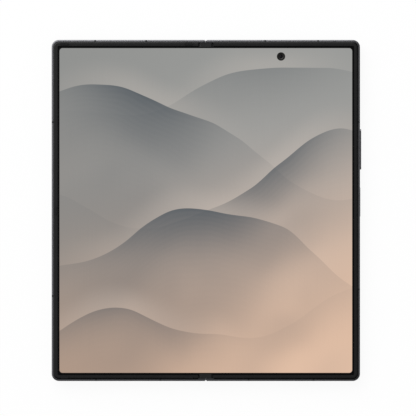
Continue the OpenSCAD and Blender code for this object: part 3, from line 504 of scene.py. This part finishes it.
def picture_finish(name, mapped):
    """The lit display: soft layered dunes under a pale sky, inside a black border."""
    look = looks("phone_display")
    f = Finish(name, mapped)
    x, y, _ = f.axes()
    f.flatten(x, y)
    along = f.step(x, -PICTURE_X, PICTURE_X, smooth=False)
    down = f.step(y, PICTURE_Y, -PICTURE_Y, smooth=False)

    colour = f.tint(f.step(down, 0.0, 0.5), look.sky, look.haze)
    warm = f.step(down + along * 0.3, 0.42, 1.2)
    colour = f.tint(warm, colour, look.sand)
    side = 0.36 * f.step(along, -0.15, 0.8) - 0.3
    colour = f.dim(colour, 1 + side * (0.35 + 0.65 * f.step(down, 0.1, 0.6)))
    drift = f.grain(0.018) - 0.5

    for level, slope, (a1, l1, s1), (a2, l2, s2), fall, strength, (middle, spread) in CRESTS:
        swell = (x / l1 + s1).do("SINE") * a1 + (x / l2 + s2).do("SINE") * a2
        depth = swell + x * slope + level - y + drift * 8
        below = f.step(depth, -0.1, 0.1)
        fade = (depth.do("MAXIMUM", 0.0) / -fall).do("EXPONENT")
        reach = (((x - middle) / spread) ** 2.0 * -1.0).do("EXPONENT")
        folds = ((depth * 0.16 + x * 0.03 + drift * 6).do("SINE") + 1) * 0.09 * (1 - fade)
        strands = (depth * 2.3 + drift * 30).do("SINE") * 0.018
        shade = below * (fade * (reach * 0.85 + 0.1) * (1 + strands) + folds * reach) * strength
        colour = f.tint(shade, colour, look.shadow)
        halo = f.step(depth, -14.0, 0.0) * (1 - below) * reach * 0.16
        colour = f.tint(halo, colour, CREST_GLOW)

    corner = look.lit_corner / MM
    edge = rounding(x, y, look.lit_width / 2 / MM, look.lit_height / 2 / MM, corner)
    low, high = corners("inner_camera")
    eye = (low + high) / 2
    hole = length(x - eye.x, y - eye.y)
    lit = f.step(edge, corner + 0.13, corner - 0.09) * f.step(hole, HOLE_BLACK, HOLE_LIT)
    rows = f.grain(2.2, 1.0, stretch=(1, 0.02, 0.02)) - 0.5
    return f.surface(
        Base_Color=f.tint(f.grain(0.6), (0.0025, 0.0025, 0.0028), (0.004, 0.004, 0.0044)),
        Roughness=0.1 + 0.05 * f.grain(1.5, 3.0),
        Specular_IOR_Level=0.12,
        Emission_Color=f.dim(colour, lit * (1 + rows * 0.03)),
        Emission_Strength=look.glow,
        Normal=f.relief(f.grain(0.045, 1.0), 0.35, 0.3),
    )


class PHONE_OT_display(bpy.types.Operator):
    """Lights the folding display and makes the two strips that lie over the hinge"""

    bl_idname = "phone.display"
    bl_label = "Display"

    def execute(self, context):
        dress(["display_left", "display_right"], picture_finish("lit_display", False))
        bent = picture_finish("lit_display_fold", True)
        low, high = corners("display_fold")

        def crease(x):
            return CREASE_DEPTH * math.cos(math.pi * x / (2 * high.x)) ** 2

        for side, half in ((-1, "left"), (1, "right")):
            ends = sorted((0.0, side * high.x))
            sheet = (*ends, low.y, high.y, low.z, high.z)
            piece = strip(f"fold_strip_{half}", *sheet, bent, STRIP_COLUMNS, crease)
            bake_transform(piece)
            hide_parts("display_fold")
        return {"FINISHED"}


# ------------------------------------------------------------------ the body's finishes


def anodised(name, colour, rough=0.34):
    """Blasted and anodised metal: fine grain, faint draw marks, and a painted highlight on its
    sharp edges.
    """
    f = Finish(name)
    grain = f.grain(9.0, 4.0, 0.6)
    drawn = f.grain(1.2, 3.0, 0.6, stretch=(0.15, 0.15, 6.0))
    patch = f.grain(0.05, 3.0)
    edges = f.node("ShaderNodeNewGeometry", out="Pointiness")
    # painted highlight: sharp convex edges get a paler copy of the metal's colour
    painted_edge_highlight = f.step(edges, 0.52, 0.6) * 0.25
    base = f.tint(patch, scaled(colour, 0.9), scaled(colour, 1.14))
    base = f.tint(painted_edge_highlight, base, scaled(colour, 1.5, 0.03))
    return f.surface(
        Base_Color=base,
        Metallic=1.0,
        Roughness=rough + (grain - 0.5) * 0.12 + (patch - 0.5) * 0.06,
        Normal=f.relief(drawn, 0.003, 0.3, f.relief(grain, 0.003, 0.35)),
    )


def moulded(name, colour, rough=0.5, grain_scale=6.0, depth=0.01, coat=0.0):
    """Moulded plastic with the fine spark-eroded grain of its tool."""
    f = Finish(name)
    pits = f.cells(grain_scale)
    cloud = f.grain(0.2, 3.0)
    return f.surface(
        Base_Color=f.tint(cloud, scaled(colour, 0.85), scaled(colour, 1.25, 0.001)),
        Roughness=rough + (pits - 0.5) * 0.12 + (cloud - 0.5) * 0.08,
        Coat_Weight=coat,
        Specular_IOR_Level=0.25,
        Normal=f.relief(pits, depth, 0.6),
    )


def bezel_finish(colour):
    """Black moulded bezel, smoother where it rounds off towards the rim, with painted shade
    darkening that band.
    """
    f = Finish("bezel_plastic")
    x, y, _ = f.axes()
    corner = corners("right_bezel")[1]
    edge = rounding(x, y, corner.x, corner.y, BEZEL_CORNER)
    # painted shade: a dark band along the bezel's outer edge where it meets the rim; its lower
    # roughness is real
    shade = f.step(edge, BEZEL_CORNER - 0.62, BEZEL_CORNER - 0.4)
    crown = 1 - f.step(edge, BEZEL_CORNER - 0.7, BEZEL_CORNER, smooth=False) ** 2.0
    pits = f.cells(9.0)
    cloud = f.grain(0.2, 3.0)
    base = f.tint(cloud, scaled(colour, 0.88), scaled(colour, 1.2))
    return f.surface(
        Base_Color=f.tint(shade, base, scaled(colour, 0.18)),
        Roughness=0.48 - shade * 0.16 + (pits - 0.5) * 0.12 + (cloud - 0.5) * 0.08,
        Specular_IOR_Level=0.24,
        Normal=f.relief(pits, 0.005, 0.6, f.relief(crown, 0.3)),
    )


def machined(name, colour, rough=0.3, stretch=(6.0, 0.2, 6.0)):
    """Steel with the fine lines of its rolling or milling."""
    f = Finish(name)
    lines = f.grain(3.0, 4.0, 0.65, stretch=stretch)
    patch = f.grain(0.15, 2.0)
    return f.surface(
        Base_Color=f.tint(patch, scaled(colour, 0.86), scaled(colour, 1.1)),
        Metallic=1.0,
        Roughness=rough + (lines - 0.5) * 0.16,
        Normal=f.relief(lines, 0.006, 0.5),
    )


class PHONE_OT_rim(bpy.types.Operator):
    """Anodises the rims, the keys, the card tray and the spine"""

    bl_idname = "phone.rim"
    bl_label = "Rim, keys and spine"

    def execute(self, context):
        look = looks("phone_body")
        rim = tuple(look.rim)
        dress(["left_frame", "right_frame"], anodised("rim_metal", rim))
        # painted light: the keys get a lighter copy of the rim's metal, standing in for the extra
        # light on their faces
        dress(["volume_rocker", "side_key"], anodised("key_metal", scaled(rim, 1.3), 0.3))
        dress(["card_tray"], anodised("tray_metal", scaled(rim, 1.04)))
        dress(["hinge_cover"], anodised("spine_metal", scaled(rim, 0.7), 0.38))
        breaks = moulded("break_plastic", (0.02, 0.021, 0.022), 0.45)
        dress(["left_antenna_breaks", "right_antenna_breaks"], breaks)
        return {"FINISHED"}


class PHONE_OT_bezel(bpy.types.Operator):
    """Finishes the raised bezel, its soft pads and the plugs at the hinge's ends"""

    bl_idname = "phone.bezel"
    bl_label = "Bezel and hinge ends"

    def execute(self, context):
        bezel = tuple(looks("phone_body").bezel)
        dress(["left_bezel", "right_bezel"], bezel_finish(bezel))
        dress(["hinge_caps"], moulded("cap_plastic", scaled(bezel, 1.6), 0.5, 7.0, 0.008))
        rubber = moulded("pad_rubber", (0.006, 0.006, 0.0065), 0.75, 5.0, 0.015)
        dress(["closing_pads"], rubber)
        return {"FINISHED"}


def frosted_back():
    """Etched glass over black: a satin sheen, fine painted glints and faint handling marks."""
    f = Finish("back_glass")
    colour = tuple(looks("phone_body").back)
    etched = f.grain(14.0, 3.0, 0.7)
    smear = f.grain(0.04, 4.0, 0.6, stretch=(1, 0.5, 1))
    # painted glints: scattered pale points mixed into the colour
    painted_glints = f.step(f.cells(5.0), 0.16, 0.05) * 0.02
    base = f.tint(smear, scaled(colour, 0.85), scaled(colour, 1.15))
    return f.surface(
        Base_Color=f.tint(painted_glints, base, (0.2, 0.2, 0.21)),
        Roughness=0.4 + (etched - 0.5) * 0.08 + (smear - 0.5) * 0.1,
        Specular_IOR_Level=0.4,
        Normal=f.relief(etched, 0.003, 0.4),
    )


def cover_glass_finish():
    """Polished glass in which the cover display's edge and the camera window just show."""
    f = Finish("cover_glass")
    x, y, _ = f.axes()
    low, high = corners("cover_display")
    middle, half = (low + high) / 2, (high - low) / 2
    edge = rounding(x - middle.x, y - middle.y, half.x - 1.2, half.y - 1.0, 3.0)
    inside = f.step(edge, 3.05, 2.95)
    low, high = corners("cover_camera")
    eye = (low + high) / 2
    far = length(x - eye.x, y - eye.y)
    window = f.step(far, 2.03, 1.97)
    ring = f.step(far, 1.62, 1.56) * f.step(far, 1.28, 1.34)
    pupil = f.step(far, 0.86, 0.8)
    smear = f.grain(0.05, 4.0, 0.6)
    colour = f.tint(inside, (0.0035, 0.0035, 0.004), (0.0075, 0.0078, 0.009))
    colour = f.tint(window, colour, (0.0015, 0.0015, 0.002))
    colour = f.tint(ring * 0.8, colour, (0.05, 0.053, 0.062))
    colour = f.tint(pupil, colour, (0.004, 0.008, 0.03))
    return f.surface(
        Base_Color=colour,
        Roughness=0.045 + smear * 0.05,
        Specular_IOR_Level=0.36,
        Normal=f.relief(smear, 0.05, 0.08),
    )


def mesh_finish():
    """Dark woven mesh of the earpiece."""
    f = Finish("mesh_metal")
    x, y, _ = f.axes()
    weave = ((x * 31.4).do("SINE") * (y * 31.4).do("SINE") + 1) / 2
    wire = f.step(weave, 0.25, 0.6)
    return f.surface(
        Base_Color=f.tint(wire, (0.004, 0.004, 0.004), (0.14, 0.14, 0.15)),
        Metallic=0.8 * wire,
        Roughness=0.35 + 0.2 * (1 - wire),
        Normal=f.relief(weave, 0.03, 0.7),
    )


class PHONE_OT_backs(bpy.types.Operator):
    """Finishes the frosted back glass, the cover glass with its display, and the earpiece mesh"""

    bl_idname = "phone.backs"
    bl_label = "Back and cover glass"

    def execute(self, context):
        dress(["back_glass"], frosted_back())
        dress(["cover_glass"], cover_glass_finish())
        panel = moulded("cover_panel", (0.01, 0.01, 0.013), 0.12, 3.0, 0.002, coat=0.4)
        dress(["cover_display"], panel)
        dress(["earpiece_mesh"], mesh_finish())
        return {"FINISHED"}


# ------------------------------------------------------------------ cameras


def island_finish():
    """Dark blasted metal of the camera island."""
    f = Finish("island_metal")
    blasted = f.grain(10.0, 4.0, 0.65)
    patch = f.grain(0.1, 2.0)
    return f.surface(
        Base_Color=f.tint(patch, (0.026, 0.027, 0.03), (0.036, 0.037, 0.04)),
        Metallic=0.85,
        Roughness=0.4 + (blasted - 0.5) * 0.14,
        Normal=f.relief(blasted, 0.006, 0.5),
    )


def turned_ring():
    """Dark metal with the fine circles of a lathe round each lens."""
    f = Finish("ring_metal")
    x, y, _ = f.axes()
    low, high = corners("lens_rings")
    pitch = (high.y - low.y - (high.x - low.x)) / 2
    first = low.y + (high.x - low.x) / 2
    near = ((y - first) / pitch + 0.5).do("FRACT") - 0.5
    far = length(x - (low.x + high.x) / 2, near * pitch)
    circles = ((far * 75).do("SINE") + 1) / 2
    dust = f.grain(4.0, 3.0)
    return f.surface(
        Base_Color=f.tint(dust, (0.085, 0.088, 0.094), (0.125, 0.128, 0.134)),
        Metallic=1.0,
        Roughness=0.24 + circles * 0.06 + (dust - 0.5) * 0.05,
        Normal=f.relief(circles, 0.004, 0.5),
    )


def barrel_finish():
    """Black lens barrel: stepped baffles that swallow light."""
    f = Finish("barrel_black")
    fine = f.grain(8.0, 3.0)
    return f.surface(
        Base_Color=f.tint(fine, (0.006, 0.006, 0.0065), (0.012, 0.012, 0.013)),
        Roughness=0.4 + (fine - 0.5) * 0.12,
        Specular_IOR_Level=0.14,
        Normal=f.relief(fine, 0.006, 0.4),
    )


def near_lens(x, y, centres):
    """Distance to the nearest of the lens centres."""
    far = None
    for cx, cy in centres:
        one = length(x - cx, y - cy)
        far = one if far is None else far.do("MINIMUM", one)
    return far


def coated_lens(name, centres, radius, inner_hue, outer_hue, sheen):
    """Front lenses with a painted reflection of their coating, whose hue turns from one to
    another towards the rim.
    """
    f = Finish(name)
    x, y, _ = f.axes()
    far = near_lens(x, y, centres) / radius
    smear = f.grain(0.5, 3.0)
    # painted reflection: the coating's coloured reflection laid into the colour by distance from
    # each lens's middle
    painted_coating_reflection = f.tint(f.step(far + (smear - 0.5) * 0.06, 0.3, 0.9), inner_hue, outer_hue)
    return f.surface(
        Base_Color=f.tint(f.step(far, 0.42, 0.3), painted_coating_reflection, (0.0015, 0.0015, 0.003)),
        Roughness=0.04 + smear * 0.03,
        Specular_Tint=sheen,
    )


def lens_cover(name, centres, clear):
    """Clear cover glass, printed black outside the clear part over each lens."""
    f = Finish(name)
    x, y, _ = f.axes()
    printed = f.step(near_lens(x, y, centres), clear - 0.03, clear + 0.03)
    smear = f.grain(0.4, 3.0)
    return f.surface(
        Base_Color=f.tint(printed, (0.9, 0.91, 0.93), (0.001, 0.001, 0.0012)),
        Roughness=0.01 + smear * 0.02,
        Transmission_Weight=1.0,
        IOR=1.45,
        Specular_IOR_Level=0.06,
    )


def flash_finish():
    """Clear ribbed lens of the flash, with its yellow die behind."""
    f = Finish("flash_plastic")
    x, y, _ = f.axes()
    low, high = corners("flash_lens")
    middle = (low + high) / 2
    out = length(x - middle.x, y - middle.y)
    ribs = (out * 3.2).do("FRACT")
    die = f.step(abs(x - middle.x), 0.75, 0.65) * f.step(abs(y - middle.y), 0.95, 0.85)
    clear = f.tint(f.step(out, 2.0, 2.2), (0.62, 0.6, 0.52), (0.3, 0.3, 0.28))
    return f.surface(
        Base_Color=f.tint(die * 0.8, clear, (0.75, 0.62, 0.18)),
        Roughness=0.18 + ribs * 0.1,
        Coat_Weight=0.6,
        Normal=f.relief(ribs, 0.08, 0.6),
    )


def element(bm, centre, front, depth, radius):
    """A domed front lens in the middle of a stepped barrel; a negative depth faces up.

    Heights are shares of the barrel's depth: its back at 0.8, the dome's crown at 0.43.
    """
    back = front + 0.8 * depth
    profile = [(0, back), (0.9 * radius, back), (radius, front + 0.7 * depth)]
    for share in (1.0, 0.92, 0.8, 0.65, 0.5, 0.35, 0.2):
        profile.append((share * radius, front + (0.43 + 0.24 * share**2.2) * depth))
    turned(bm, [*profile, (0, front + 0.43 * depth)], centre)


class PHONE_OT_cameras(bpy.types.Operator):
    """Finishes the rear island and its stepped barrels, and sets coated lenses behind the glass
    """

    bl_idname = "phone.cameras"
    bl_label = "Cameras"

    def execute(self, context):
        dress(["camera_island"], island_finish())
        dress(["lens_rings"], turned_ring())
        dress(["camera_modules", "inner_camera", "cover_camera"], barrel_finish())
        dress(["flash_lens"], flash_finish())
        self.rear()
        self.inner()
        return {"FINISHED"}

    def rear(self):
        """The three front lenses behind the island's glass."""
        low, high = corners("lens_glasses")
        radius = (high.x - low.x) / 2
        pitch = (high.y - low.y - 2 * radius) / 2
        centres = [((low.x + high.x) / 2, low.y + radius + pitch * k) for k in range(3)]
        dress(["lens_glasses"], lens_cover("lens_glass_clear", centres, REAR_CLEAR))
        front = corners("camera_modules")[0].z
        size = LENS_SHARE * REAR_BARREL_RADIUS

        def fill(bm):
            for centre in centres:
                element(bm, centre, front, REAR_BARREL_DEPTH, size)

        blue, plum, violet = (0.004, 0.012, 0.05), (0.03, 0.006, 0.036), (0.34, 0.3, 1.0)
        coating = coated_lens("rear_coating", centres, size, blue, plum, violet)
        lenses = solid("lens_elements", fill, coating)
        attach(lenses, "right_half")

    def inner(self):
        """The lens in the display's camera hole and the printed ring round it."""
        low, high = corners("inner_camera")
        eye = ((low.x + high.x) / 2, (low.y + high.y) / 2)
        size = LENS_SHARE * INNER_BARREL_RADIUS

        def fill(bm):
            element(bm, eye, high.z, -INNER_BARREL_DEPTH, size)

        slate, umber, neutral = (0.005, 0.007, 0.013), (0.014, 0.009, 0.009), (0.95, 0.92, 0.95)
        coating = coated_lens("inner_coating", [eye], size, slate, umber, neutral)
        lens = solid("inner_lens", fill, coating)
        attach(lens, "right_half")
        top = corners("display_right")[1].z
        foot = top - SURROUND_DROP

        def ring(bm):
            outer = [(SURROUND_OUT, foot), (SURROUND_OUT, top - 0.02), (SURROUND_OUT - 0.02, top)]
            inner = [(SURROUND_IN + 0.1, top), (SURROUND_IN, top - 0.05), (SURROUND_IN, foot)]
            turned(bm, [(SURROUND_IN, foot), *outer, *inner], eye)

        print_black = moulded("surround_print", (0.0125, 0.0122, 0.011), 0.3, 4.0, 0.001)
        surround = solid("inner_lens_surround", ring, print_black)
        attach(surround, "right_half")


# ------------------------------------------------------------------ hinge and inner parts


def flex_finish():
    """Amber film with copper lines that run across the hinge."""
    f = Finish("flex_polyimide", True)
    _, y, _ = f.axes()
    lines = f.step(abs((y * 2.4).do("FRACT") - 0.5), 0.28, 0.22)
    cloud = f.grain(0.4, 2.0)
    base = f.tint(lines, (0.24, 0.11, 0.02), (0.42, 0.2, 0.07))
    return f.surface(
        Base_Color=f.tint(cloud * 0.3, base, (0.16, 0.07, 0.012)),
        Metallic=0.45 * lines,
        Roughness=0.32 + 0.12 * cloud,
        Normal=f.relief(lines, 0.02, 0.5),
    )


class PHONE_OT_hinge(bpy.types.Operator):
    """Finishes the hinge's steel and gears and makes the wiring ribbons that cross it"""

    bl_idname = "phone.hinge"
    bl_label = "Hinge"

    def execute(self, context):
        steel = machined("hinge_steel", (0.36, 0.36, 0.38), 0.32)
        dress(["hinge_bases", "left_rotators", "right_rotators"], steel)
        dress(["left_sync_arms", "right_sync_arms"], steel)
        screws = machined("screw_steel", (0.42, 0.42, 0.43), 0.26, (4.0, 4.0, 4.0))
        dress(["left_screws", "right_screws"], screws)
        dress(["hinge_shafts"], machined("shaft_steel", (0.5, 0.5, 0.52), 0.2))
        springs = machined("spring_steel", (0.46, 0.44, 0.38), 0.3, (5.0, 1.0, 5.0))
        dress(["disc_springs"], springs)
        brass = machined("gear_brass", (0.55, 0.4, 0.16), 0.28, (5.0, 0.5, 5.0))
        dress(["left_idlers", "right_idlers"], brass)

        film = flex_finish()
        low, high = corners("hinge_flex")
        for side, half in ((-1, "left"), (1, "right")):
            ends = sorted((0.0, side * high.x))
            for k, middle in enumerate((low.y + RIBBON_INSET, high.y - RIBBON_INSET), 1):
                sheet = (*ends, middle - RIBBON_HALF, middle + RIBBON_HALF, low.z, high.z)
                piece = strip(f"flex_ribbon_{half}_{k}", *sheet, film, RIBBON_COLUMNS)
                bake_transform(piece)
                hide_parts("hinge_flex")
        return {"FINISHED"}


def board_finish():
    """Green board with its tracks and gold pads."""
    f = Finish("board")
    x, _, _ = f.axes()
    tracks = f.step(abs((x * 0.9 + f.grain(0.25, 1.0) * 3).do("FRACT") - 0.5), 0.36, 0.42)
    pads = f.step(f.cells(0.55), 0.16, 0.12)
    base = f.tint(tracks, (0.012, 0.06, 0.036), (0.018, 0.09, 0.05))
    return f.surface(
        Base_Color=f.tint(pads, base, (0.7, 0.5, 0.2)),
        Metallic=pads,
        Roughness=0.4 - 0.1 * pads,
        Normal=f.relief(tracks, 0.02, 0.5),
    )


def foil_finish():
    """Crinkled dark foil round a battery, with its seams."""
    f = Finish("battery_foil")
    _, y, _ = f.axes()
    crinkle = f.grain(0.35, 4.0, 0.6)
    seam = f.step(abs((y * 0.045).do("FRACT") - 0.5), 0.48, 0.495)
    return f.surface(
        Base_Color=f.tint(crinkle, (0.014, 0.015, 0.018), (0.026, 0.028, 0.033)),
        Metallic=0.3,
        Roughness=0.38 + (crinkle - 0.5) * 0.2 + seam * 0.1,
        Normal=f.relief(crinkle, 0.08, 0.5),
    )


class PHONE_OT_inside(bpy.types.Operator):
    """Finishes the boards, batteries, coil, speakers and the other parts inside"""

    bl_idname = "phone.inside"
    bl_label = "Inner parts"

    def execute(self, context):
        even = (2.0, 2.0, 2.0)
        metals = (
            ("shield_metal", (0.52, 0.52, 0.54), 0.28, even,
             ["board_shields", "card_reader", "vibration_motor"]),
            ("socket_steel", (0.42, 0.42, 0.44), 0.22, (3.0, 0.3, 3.0), ["usb_c_socket"]),
            ("switch_gold", (0.55, 0.4, 0.16), 0.22, even, ["key_switches"]),
            ("coil_copper", (0.55, 0.22, 0.08), 0.34, (5.0, 5.0, 1.0), ["charging_coil"]),
            ("magnet_nickel", (0.45, 0.45, 0.47), 0.16, (1.0, 1.0, 1.0),
             ["left_magnets", "right_magnets"]),
            ("steel_plate", (0.44, 0.44, 0.45), 0.3, (6.0, 0.2, 6.0),
             ["left_backing_plate", "right_backing_plate"]),
        )
        for name, colour, rough, stretch, nodes in metals:
            dress(nodes, machined(name, colour, rough, stretch))
        dress(["main_board", "left_board", "port_board"], board_finish())
        dress(["left_battery", "right_battery"], foil_finish())
        speaker = moulded("speaker_plastic", (0.014, 0.014, 0.015), 0.5, 5.0, 0.012)
        dress(["bottom_speaker", "top_speaker"], speaker)

        low, high = corners("usb_c_socket")
        middle = (low + high) / 2
        first = middle.x - CONTACT_PITCH * (CONTACTS - 1) / 2 - CONTACT_W / 2

        def contacts(bm):
            for k in range(CONTACTS):
                x0 = first + CONTACT_PITCH * k
                flat = (x0, x0 + CONTACT_W, low.y + CONTACT_START, low.y + CONTACT_END)
                for z0, z1 in ((CONTACT_IN, CONTACT_OUT), (-CONTACT_OUT, -CONTACT_IN)):
                    faces = (middle.z + z0, middle.z + z1)
                    pad(bm, *flat, *faces, CONTACT_ROUND, CONTACT_STEPS)

        plating = machined("contact_gold", (0.72, 0.5, 0.18), 0.2, even)
        gold = solid("socket_contacts", contacts, plating)
        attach(gold, "right_half")
        return {"FINISHED"}


# ------------------------------------------------------------------ stage


def floor_finish():
    """Pale floor that shows white behind the phone and keeps its soft shadow.

    Under the slits at the hinge's ends its white is held back, which paints a darker shadow patch
    there in every pose.
    """
    material = bpy.data.materials.new("pale_floor")
    f = Pattern(material)
    path = f.node("ShaderNodeLightPath")
    seen = path.do("MAXIMUM", path.out("Is Glossy Ray"))
    seen = seen.do("MAXIMUM", path.out("Is Transmission Ray"))
    x, y, _ = f.axes()
    near = corners("hinge_cover")[1].y
    far = near + SLIT_SHADOW_END
    # painted shadow: a fixed patch under each hinge-end gap loses the white share and shows
    # darker
    slit_shadow = f.step(abs(x), SLIT_SHADOW_HALF, SLIT_SHADOW_HALF - 0.05) * f.step(abs(y), near, near + 0.1)
    slit_shadow = slit_shadow * f.step(abs(y), far, far - 0.1)
    seen = seen * (1 - slit_shadow)
    paint = f.node("ShaderNodeBsdfDiffuse", inputs={"Color": (0.9, 0.9, 0.9)})
    white = f.node("ShaderNodeEmission", inputs={"Color": WHITE, "Strength": 1.02})
    clear = f.node("ShaderNodeBsdfTransparent")
    top = f.node("ShaderNodeMixShader", inputs={0: seen * 0.9, 1: paint, 2: white})
    below = f.node("ShaderNodeNewGeometry", out="Backfacing")
    both = f.node("ShaderNodeMixShader", inputs={0: below, 1: top, 2: clear})
    f.node("ShaderNodeOutputMaterial", inputs={"Surface": both})
    return material


def room_light(ambient):
    """A plain room: white to the camera and soft as light.

    In gloss it is brighter to the upper left than overhead.
    """
    world = bpy.data.worlds.new("room")
    bpy.context.scene.world = world
    f = Pattern(world)
    path = f.node("ShaderNodeLightPath")
    glossy = path.out("Is Glossy Ray").do("MAXIMUM", path.out("Is Transmission Ray"))
    ray = f.node("ShaderNodeTexCoord", out="Generated")
    way = f.node("ShaderNodeSeparateXYZ", inputs={0: ray})
    toward = way.out("Y") * 0.58 - way.out("X") * 0.66
    mirrored = 0.07 + 0.93 * f.step(toward, -0.12, 0.56)
    mirrored = mirrored.do("MAXIMUM", f.step(way.out("Z"), 0.02, -0.02))
    lit = ambient * (1 - glossy) + glossy * mirrored
    seen = path.out("Is Camera Ray")
    strength = lit * (1 - seen) + seen
    light = f.node("ShaderNodeBackground", inputs={"Color": WHITE, "Strength": strength})
    f.node("ShaderNodeOutputWorld", inputs={"Surface": light})


def lamp(name, place, size, power):
    """A soft rectangular lamp aimed at the origin."""
    data = bpy.data.lights.new(name, "AREA")
    data.shape = "RECTANGLE"
    data.size, data.size_y = size
    data.energy = power
    made = bpy.data.objects.new(name, data)
    bpy.context.scene.collection.objects.link(made)
    made.location = place
    made.rotation_mode = "QUATERNION"
    made.rotation_quaternion = (-Vector(place)).to_track_quat("-Z", "Y")


class PHONE_OT_stage(bpy.types.Operator):
    """Lays the floor, lights the room and sets the camera straight above"""

    bl_idname = "phone.stage"
    bl_label = "Stage"

    def execute(self, context):
        look = looks("phone_stage")
        mesh = bpy.data.meshes.new("floor")
        bm = bmesh.new()
        bmesh.ops.create_grid(bm, x_segments=2, y_segments=2, size=FLOOR_REACH)
        bm.to_mesh(mesh)
        bm.free()
        floor = bpy.data.objects.new("floor", mesh)
        context.scene.collection.objects.link(floor)
        floor.location.z = -FLOOR_DROP
        mesh.materials.append(floor_finish())

        room_light(look.ambient)
        lamp("key_lamp", (-0.75, 1.25, 1.4), (2.2, 1.6), look.key_power)
        lamp("fill_lamp", (0.8, -0.1, 0.6), (0.5, 0.5), look.fill_power)

        data = bpy.data.cameras.new("camera")
        data.sensor_width = SENSOR
        data.lens = SENSOR * look.camera_height / look.view_width
        data.clip_start, data.clip_end = 0.01, 50.0
        camera = bpy.data.objects.new("camera", data)
        context.scene.collection.objects.link(camera)
        camera.location = (VIEW_X, VIEW_Y, CAD_BOX[1].z + look.camera_height)
        context.scene.camera = camera
        context.scene.view_settings.view_transform = "Standard"
        return {"FINISHED"}


# ------------------------------------------------------------------ panel and run


class PHONE_PT_looks(bpy.types.Panel):
    """Lists the pieces and their settings"""

    bl_idname = "PHONE_PT_looks"
    bl_label = "Folding phone"
    bl_space_type = "VIEW_3D"
    bl_region_type = "UI"
    bl_category = "Phone"

    def draw(self, context):
        for group in ("phone_display", "phone_body", "phone_stage"):
            box = self.layout.box()
            settings = getattr(context.scene, group)
            for key in settings.bl_rna.properties.keys():
                if key not in ("rna_type", "name"):
                    box.prop(settings, key)
        for piece in OPERATORS:
            self.layout.operator(piece.bl_idname)


GROUPS = {"phone_display": DisplayLook, "phone_body": BodyLook, "phone_stage": StageLook}
OPERATORS = (
    PHONE_OT_display,
    PHONE_OT_rim,
    PHONE_OT_bezel,
    PHONE_OT_backs,
    PHONE_OT_cameras,
    PHONE_OT_hinge,
    PHONE_OT_inside,
    PHONE_OT_stage,
)
CLASSES = (*GROUPS.values(), *OPERATORS, PHONE_PT_looks)


def register():
    for made in CLASSES:
        bpy.utils.register_class(made)
    for name, group in GROUPS.items():
        setattr(bpy.types.Scene, name, bpy.props.PointerProperty(type=group))


def unregister():
    for name in GROUPS:
        delattr(bpy.types.Scene, name)
    for made in reversed(CLASSES):
        bpy.utils.unregister_class(made)


def main():
    register()
    for piece in OPERATORS:
        getattr(bpy.ops.phone, piece.bl_idname.split(".")[1])()


if __name__ == "__main__":
    main()
